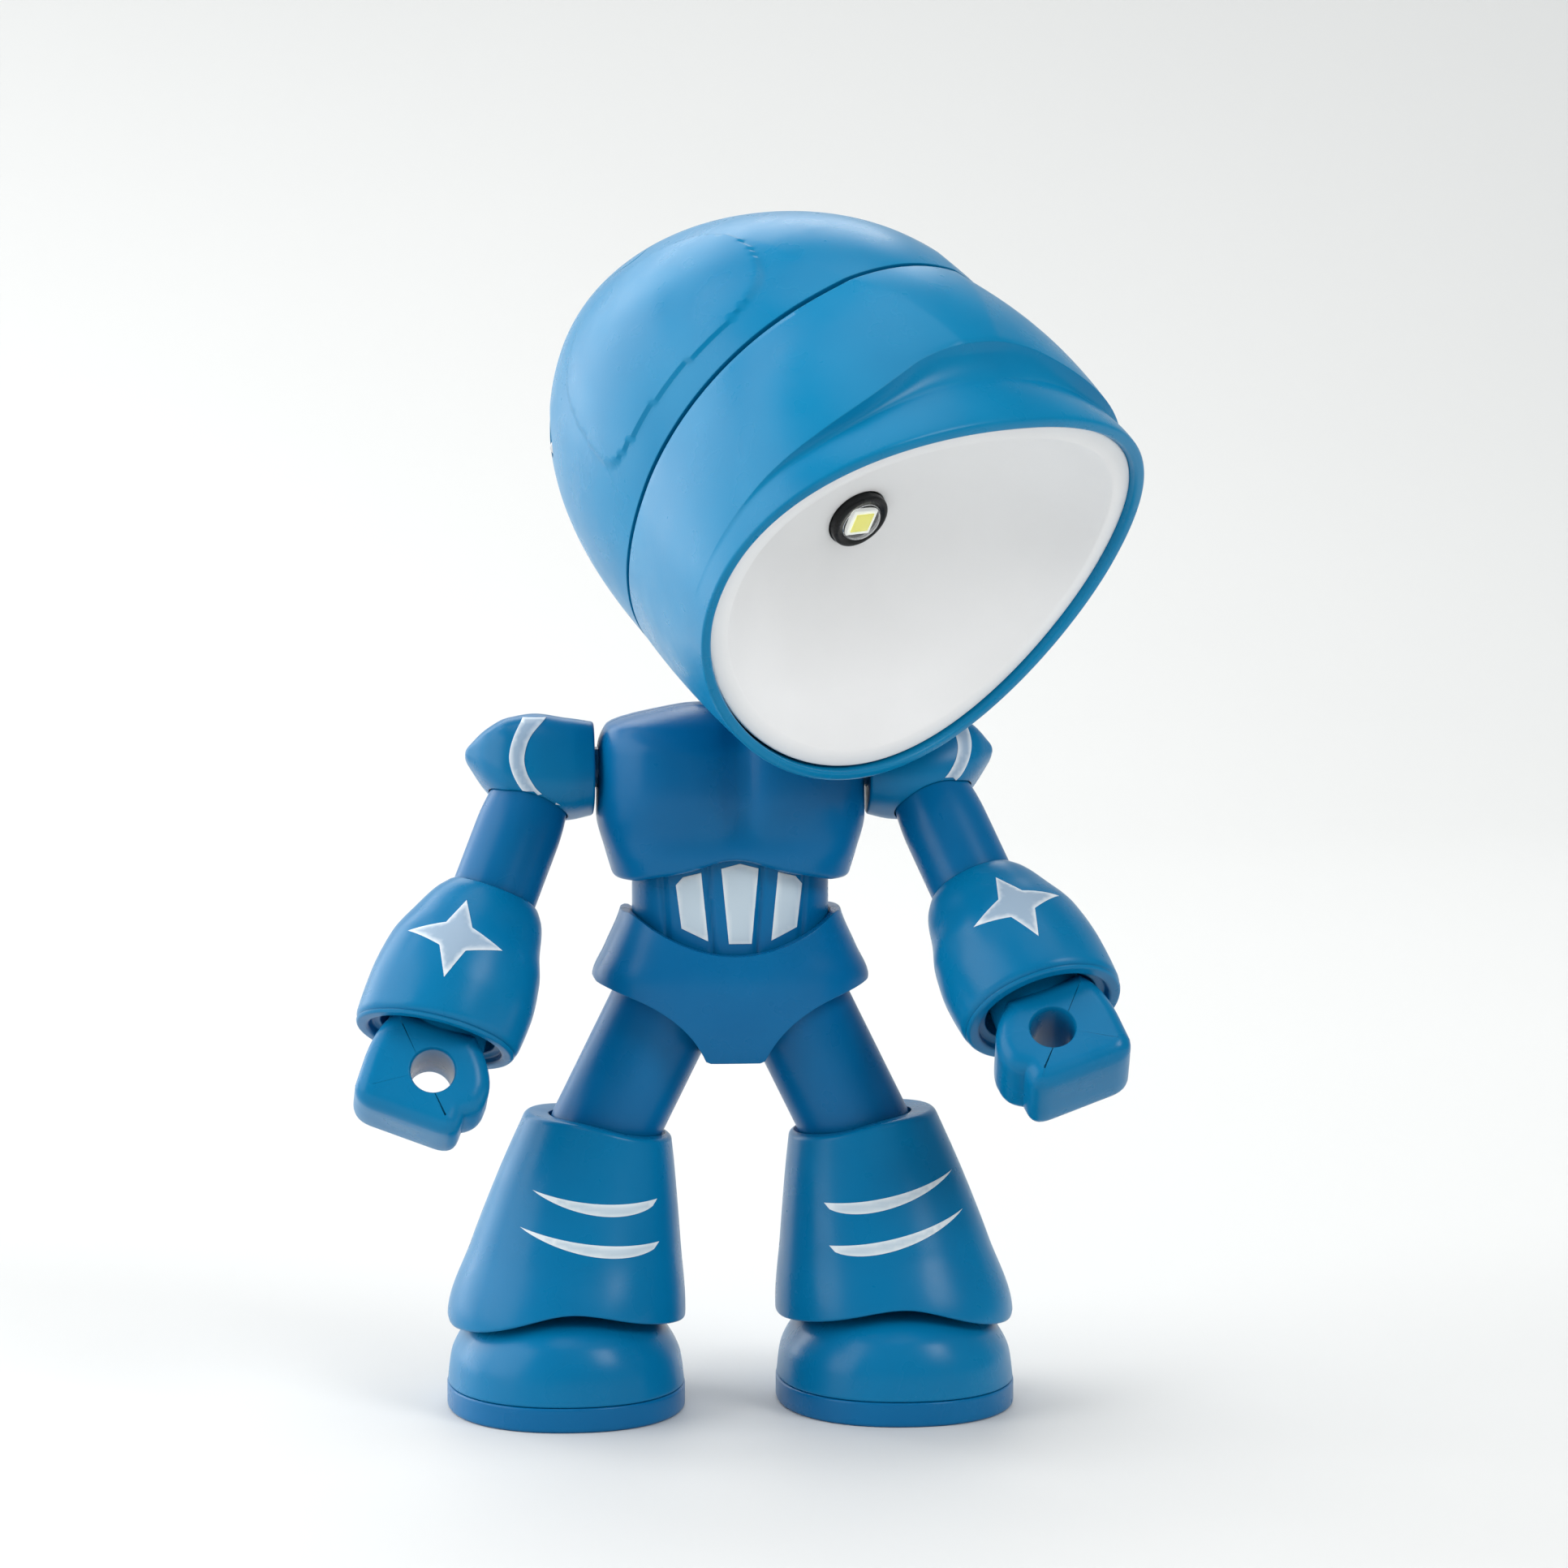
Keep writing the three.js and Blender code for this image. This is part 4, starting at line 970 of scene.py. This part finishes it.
def make_boot(name):
    at = sections([(9, 15.6, 17.6, FOOT_X), (11.8, 16.7, 18.6, 24.3), (13.6, 17.5, 19.3, 24.25),
                   (24, 15.45, 15.9, 22.85), (34.5, 13, 12.8, 21.2), (46, 9.9, 10.4, 19.2),
                   (50, 9.0, 9.6, 18.4)])

    def height(t, ux, uy):
        arch = 1.5 * np.exp(-(ux / 0.45) ** 2) * smooth(0.5, 0.95, abs(uy))
        bottom = 13.1 + 1.87 * uy**2 - 0.8 * smooth(0, 0.8, ux) + arch
        top = pchip([-1, -0.55, 0, 0.5, 1], [40.0, 40.8, 42.3, 43.2, 43.6], ux)
        return bottom + (top - bottom) * t

    lower, upper = 0.35, 0.7
    profile = [(lower * (1 - math.sin(a)), lower / 28 * (1 - math.cos(a))) for a in quarter(7)]
    profile += [(0, t) for t in np.linspace(0.02, 0.975, 48)]
    profile += [(upper * (1 - math.sin(a)), 1 - upper / 30 * (1 - math.cos(a)))
                for a in quarter(7)[::-1]]
    body = loft(name, profile, at, height, 200)
    combine(body, loft("cut", [(0, 9), (0, 15.5), (0, 22)],
                       sections([(9, 15.7, 20.3, 24.3), (15.5, 15.4, 18.0, 24.1), (22, 11, 12, 23.3)]),
                       level, 120))
    knee = (KNEE_X, 0, KNEE_Z)
    combine(body, orb(KNEE_SOCKET, knee))
    combine(body, rod(X, 1.65, -8.7, 8.7, knee))
    combine(body, moved(swept(KNEE_SOCKET, 16, side=1, front=27),
                        move(*knee) @ turn(-LEG_LEAN, Y) @ turn(180, X)))
    return body


def make_foot(name):
    at = sections([(3.66, 17.4, 21.9, FOOT_X), (7.5, 16.9, 21.6, FOOT_X), (11.4, 14.9, 20.4, FOOT_X),
                   (14.4, 11.8, 17.2, FOOT_X), (16.8, 5.8, 9.4, FOOT_X)])
    body = loft(name, ends(3.66, 16.8, 0.3, 0.6, 0.5), at, level, 200)
    combine(body, rod(Z, 3.3, 8, 30, (FOOT_X, 0, 0)))
    return body


def make_sole(name):
    at = sections([(0, 17.5, 22, FOOT_X), (3.6, 17.5, 22, FOOT_X)])
    return loft(name, ends(0, 3.6, 0.5, 0.3, 0.6), at, level, 200)


def make_thigh(name):
    profile = [(0, 0), (KNEE_BALL, 0), (KNEE_BALL, -7), (KNEE_BALL, -14), (KNEE_BALL, -THIGH)]
    profile += [(KNEE_BALL * math.cos(a), -THIGH - KNEE_BALL * math.sin(a)) for a in quarter(24)[1:]]
    tube = lathe(name, profile, Z, 144)
    combine(tube, orb(5.3))
    combine(tube, box((-12, -3.1, -3.2), (0, 3.1, 2)))
    return tube


def make_leg(side):
    name, flip = NAMES[side], mirror(side)
    hip = flip @ move(HIP_X, 0, HIP_Z) @ turn(-LEG_LEAN, Y)
    thigh = make_thigh(f"thigh_tube_{name}")
    place(thigh, hip, f"thigh_{name}", [f"thigh_{name}"], DEEP_BLUE)
    boot = make_boot(f"boot_shell_{name}")
    place(boot, flip, f"boot_{name}", [f"boot_{name}"], LIGHT_BLUE)
    foot = make_foot(f"foot_dome_{name}")
    place(foot, flip, f"foot_{name}", [f"foot_{name}"], LIGHT_BLUE)
    sole = make_sole(f"sole_plate_{name}")
    place(sole, flip, f"foot_{name}", [f"sole_{name}"], DEEP_BLUE)
    return boot


# ---------------------------------------------------------------- printed marks
def mark(name, target, matrix, outline, body, material, rise=0.16, highlight_width=0.4, grid=0.55):
    """A raised flat mark laid over a piece. outline holds (x, z) in matrix's frame, seen from -y."""
    ring = dense(outline, 0.3)
    low, high = ring.min(0), ring.max(0)
    xs, zs = np.meshgrid(np.arange(low[0], high[0], grid), np.arange(low[1], high[1], grid))
    spots = np.stack([xs.ravel(), zs.ravel()], 1)
    near = np.linalg.norm(spots[:, None] - ring[None], axis=2).min(1)
    spots = spots[in_polygon(spots[:, 0], spots[:, 1], ring) & (near > grid * 0.6)]
    count = len(ring)
    edges = [(i, (i + 1) % count) for i in range(count)]
    flat, _, faces, *_ = delaunay_2d_cdt([Vector(p) for p in np.concatenate([ring, spots])], edges, [],
                                         1, 1e-6)
    flat = np.array([tuple(p) for p in flat])
    inside = np.linalg.norm(flat[:, None] - ring[None], axis=2).min(1)
    tree = BVHTree.FromPolygons([v.co.copy() for v in target.data.vertices],
                                [tuple(p.vertices) for p in target.data.polygons])
    world = in_frame(matrix)
    ahead = (world.to_3x3() @ Vector((0, 1, 0))).normalized()
    verts, keep = [], []
    for (x, z), d in zip(flat, inside):
        hit, normal, _, _ = tree.ray_cast(world @ Vector((x, -40, z)), ahead)
        keep.append(hit is not None)
        if hit is None:
            verts.append(Vector())
            continue
        if normal.dot(ahead) > 0:
            normal = -normal
        verts.append(hit + normal * MM * rise * (0.35 + 0.65 * min(d / 0.25, 1)))
    top = len(verts)
    base = [v + ahead * MM * 0.5 for v in verts]
    faces = [list(f) for f in faces if all(keep[i] for i in f)]
    rim = boundary(faces)
    faces += [[a, b, b + top, a + top] for a, b in rim]
    # The 'inside' mask lightens a narrow band at the mark's edge, a painted highlight along its raised
    # rim.
    obj = new_object_with(name, verts + base, faces, np.tile(np.clip(inside / highlight_width - 0.4, 0, 1), 2))
    surface(obj.data, material, 50)
    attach(obj, body)
    return obj


def boundary(faces):
    edges = {}
    for face in faces:
        for a, b in zip(face, face[1:] + face[:1]):
            key = (min(a, b), max(a, b))
            edges[key] = None if key in edges else (b, a)
    return [pair for pair in edges.values() if pair]


def new_object_with(name, verts, faces, inside):
    mesh = bpy.data.meshes.new(name)
    mesh.from_pydata([tuple(v) for v in verts], [], faces)
    attribute = mesh.attributes.new("inside", "FLOAT", "POINT")
    attribute.data.foreach_set("value", inside.astype(np.float32))
    bm = bmesh.new()
    bm.from_mesh(mesh)
    loose = [v for v in bm.verts if not v.link_faces]
    bmesh.ops.delete(bm, geom=loose, context="VERTS")
    bmesh.ops.recalc_face_normals(bm, faces=bm.faces)
    bm.to_mesh(mesh)
    bm.free()
    return linked(name, mesh)


def star(centre, tips, dips):
    """A four-pointed star: tips holds the reach of each point, clockwise from the top."""
    out = []
    for i in range(8):
        radius = tips[i // 2] if i % 2 == 0 else dips
        a = math.radians(i * 45)
        out.append((centre[0] + radius * math.sin(a), centre[1] + radius * math.cos(a)))
    return out


def tilted(points, centre, degrees):
    a = math.radians(degrees)
    c, s = math.cos(a), math.sin(a)
    return [(centre[0] + (x - centre[0]) * c - (z - centre[1]) * s,
             centre[1] + (x - centre[0]) * s + (z - centre[1]) * c) for x, z in points]


def stripe(outer, inner, sag, thick):
    """A stripe that hangs between two points, thickest towards its inner end."""
    t = np.linspace(0, 1, 26)
    outer, inner = np.array(outer, float), np.array(inner, float)
    line = outer + (inner - outer) * t[:, None] - np.stack([0 * t, 4 * t * (1 - t) * sag], 1)
    width = thick * 1.5 * t**0.8 * (1 - t) ** 0.45
    low = line - np.stack([0 * t, width], 1)
    return [tuple(p) for p in line] + [tuple(p) for p in low[-2:0:-1]]


CRESCENT = [(-0.5, 7.6), (1.9, 5.0), (2.8, 2.3), (2.6, 0.3), (1.8, -1.4), (0.5, -3.0), (-2.4, -4.9),
            (0.5, -4.3), (2.5, -3.2), (3.6, -2.0), (4.6, 0.0), (5.0, 2.3), (4.3, 5.0), (2.9, 7.6)]
CRESCENT_CORNERS = (0, 6, 13)
CRESCENT_AT = {-1: (27.5, 94.2), 1: (30.0, 95.7)}
STAR_AT = {-1: (2.3, -8.3), 1: (1.4, -8.6)}
STAR_TILT = {-1: -5, 1: 3}
STRIPES = {-1: (((29.5, 33.6), (11.4, 31.9)), ((31.4, 28.4), (11.2, 25.8))),
           1: (((32.0, 35.2), (12.9, 31.2)), ((33.4, 29.7), (13.5, 25.2)))}


def make_marks(parts, belly):
    for side in (-1, 1):
        name = NAMES[side]
        cap, cuff, boot = parts[side]
        forearm = arm_frames(side)[2]
        centre = STAR_AT[side]
        shape = tilted(star(centre, (6.3, 6.9, 6.6, 6.9), 2.7), centre, STAR_TILT[side])
        mark(f"star_{name}", cuff, forearm, shape, f"forearm_{name}", MARK_PAINTED_RIM_HIGHLIGHT)
        x, z = CRESCENT_AT[side]
        shape = spline(CRESCENT, 6, CRESCENT_CORNERS)
        mark(f"crescent_{name}", cap, mirror(side) @ move(x, 0, z), shape, f"arm_{name}", MARK_PAINTED_RIM_HIGHLIGHT)
        for row, (outer, inner) in enumerate(STRIPES[side]):
            mark(f"stripe_{row + 1}_{name}", boot, mirror(side), stripe(outer, inner, 0.9, 2.6),
                 f"boot_{name}", PANEL_PAINTED_RIM_HIGHLIGHT, highlight_width=0.35)
    shape = [(-2.0, 80.2), (0.7, 80.9), (3.4, 80.2), (2.4, 69.2), (-0.9, 69.2)]
    mark("panel_middle", belly, Matrix(), shape, "pelvis", PANEL_PAINTED_RIM_HIGHLIGHT)
    for side in (-1, 1):
        shape = [(side * x + 0.7, z) for x, z in ((5.6, 79.6), (8.2, 78.9), (9.2, 77.7), (8.4, 71.4),
                                                  (4.6, 69.6))]
        mark(f"panel_{NAMES[side]}", belly, Matrix(), shape, "pelvis", PANEL_PAINTED_RIM_HIGHLIGHT)


# ---------------------------------------------------------------- CAD nodes that stay
def dress(material, *nodes):
    for node in nodes:
        surface(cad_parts[node].data, material, 35)


def dress_frame():
    pairs = ("right", "left")
    dress(STEEL, "head_screw_right", "head_screw_left", "chest_screw_right", "chest_screw_left",
          "pelvis_screw", *(f"{p}_{s}" for p in ("elbow_pin", "knee_pin") for s in pairs))
    dress(JOINT_BLUE, "neck_post", "neck_ball", "waist_peg",
          *(f"{p}_{s}" for p in ("shoulder_peg", "hip_ball", "ankle_peg") for s in pairs))
    dress(WHITE, "led_board")
    dress(BLACK, "battery_tray", "neck_bracket")
    dress(WRAP, "battery_1", "battery_2", "battery_3")
    dress(BRASS, "battery_contact_top", "battery_contact_bottom")


# ---------------------------------------------------------------- set
def make_set():
    width, near, far, high = 3.0, -1.6, 1.7, 2.4
    line = [(near, 0.0), (far - 0.9, 0.0)]
    line += [(far - 0.9 + 0.9 * math.sin(a), 0.9 * (1 - math.cos(a)))
             for a in quarter(24)[1:]]
    line.append((far, high))
    verts = [(x, y, z) for y, z in line for x in (-width, width)]
    faces = [(2 * i, 2 * i + 1, 2 * i + 3, 2 * i + 2) for i in range(len(line) - 1)]
    floor = new_object("floor", verts, faces)
    floor.data.polygons.foreach_set("use_smooth", [True] * len(floor.data.polygons))
    material, tree, shader = material_tools("paper")
    paper = two_tone(tree, add_range(tree, add_noise(tree, 1.5), 0, 1), linear(217, 218, 217),
                     linear(220, 221, 220))
    tree.links.new(paper, shader.inputs["Base Color"])
    shader.inputs["Roughness"].default_value = 0.55
    shader.inputs["Specular IOR Level"].default_value = 0.25
    floor.data.materials.append(material)


def add_lamp(name, where, target, size, power):
    light = bpy.data.lights.new(name, "AREA")
    light.shape = "RECTANGLE"
    light.size, light.size_y = size
    light.energy = power
    lamp = linked(name, light)
    lamp.location = where
    aim = Vector(target) - Vector(where)
    lamp.rotation_euler = aim.to_track_quat("-Z", "Y").to_euler()


def make_lights():
    middle = (0, 0, 0.09)
    add_lamp("key", (-1.3, -0.25, 0.7), middle, (1.2, 1.3), 14)
    add_lamp("side", (-1.1, 0.85, 0.5), middle, (1.1, 1.0), 9)
    add_lamp("fill", (1.1, -1.1, 1.2), middle, (0.7, 0.7), 13)
    add_lamp("overhead", (0.05, -0.1, 1.5), middle, (1.1, 1.1), 6)
    add_lamp("crown", (-0.2, 1.0, 0.95), middle, (1.2, 0.6), 5)
    add_lamp("backdrop", (-1.2, 0.6, 1.7), (-0.5, 1.7, 0.5), (0.8, 0.8), 6)
    world = bpy.data.worlds.new("room")
    bpy.context.scene.world = world
    world.use_nodes = True
    tree = world.node_tree
    # The room is darker in reflections, as it is between the lamps of a real studio.
    path = tree.nodes.new("ShaderNodeLightPath")
    room = two_tone(tree, path.outputs["Is Glossy Ray"], (0.97, 0.985, 1, 1), (0.08, 0.11, 0.14, 1))
    background = tree.nodes["Background"]
    tree.links.new(room, background.inputs["Color"])
    background.inputs["Strength"].default_value = 0.46


# The camera's place in robot millimetres, and how far it looks to its right and downwards.
CAMERA_AT, LOOK_RIGHT, LOOK_DOWN = (-57.30, -793.64, 168.16), 4.70, 5.50


def make_camera():
    data = bpy.data.cameras.new("camera")
    data.lens, data.sensor_width, data.clip_end = 125.26, 36, 20
    camera = linked("camera", data)
    spot = SHIFT + Vector(CAMERA_AT) * MM
    camera.matrix_world = Matrix.Translation(spot) @ turn(-LOOK_RIGHT, Z) @ turn(90 - LOOK_DOWN, X)
    bpy.context.scene.camera = camera


# ---------------------------------------------------------------- build
bpy.context.scene.view_settings.view_transform = "Standard"
make_camera()
dress_frame()
make_front_shell()
make_back_shell()
make_button()
make_reflector()
make_light()
make_chest()
belly_piece = make_abdomen()
make_pelvis()
marked = {}
for which in (-1, 1):
    shoulder_cap, gauntlet = make_arm(which)
    marked[which] = (shoulder_cap, gauntlet, make_leg(which))
make_marks(marked, belly_piece)
make_set()
make_lights()
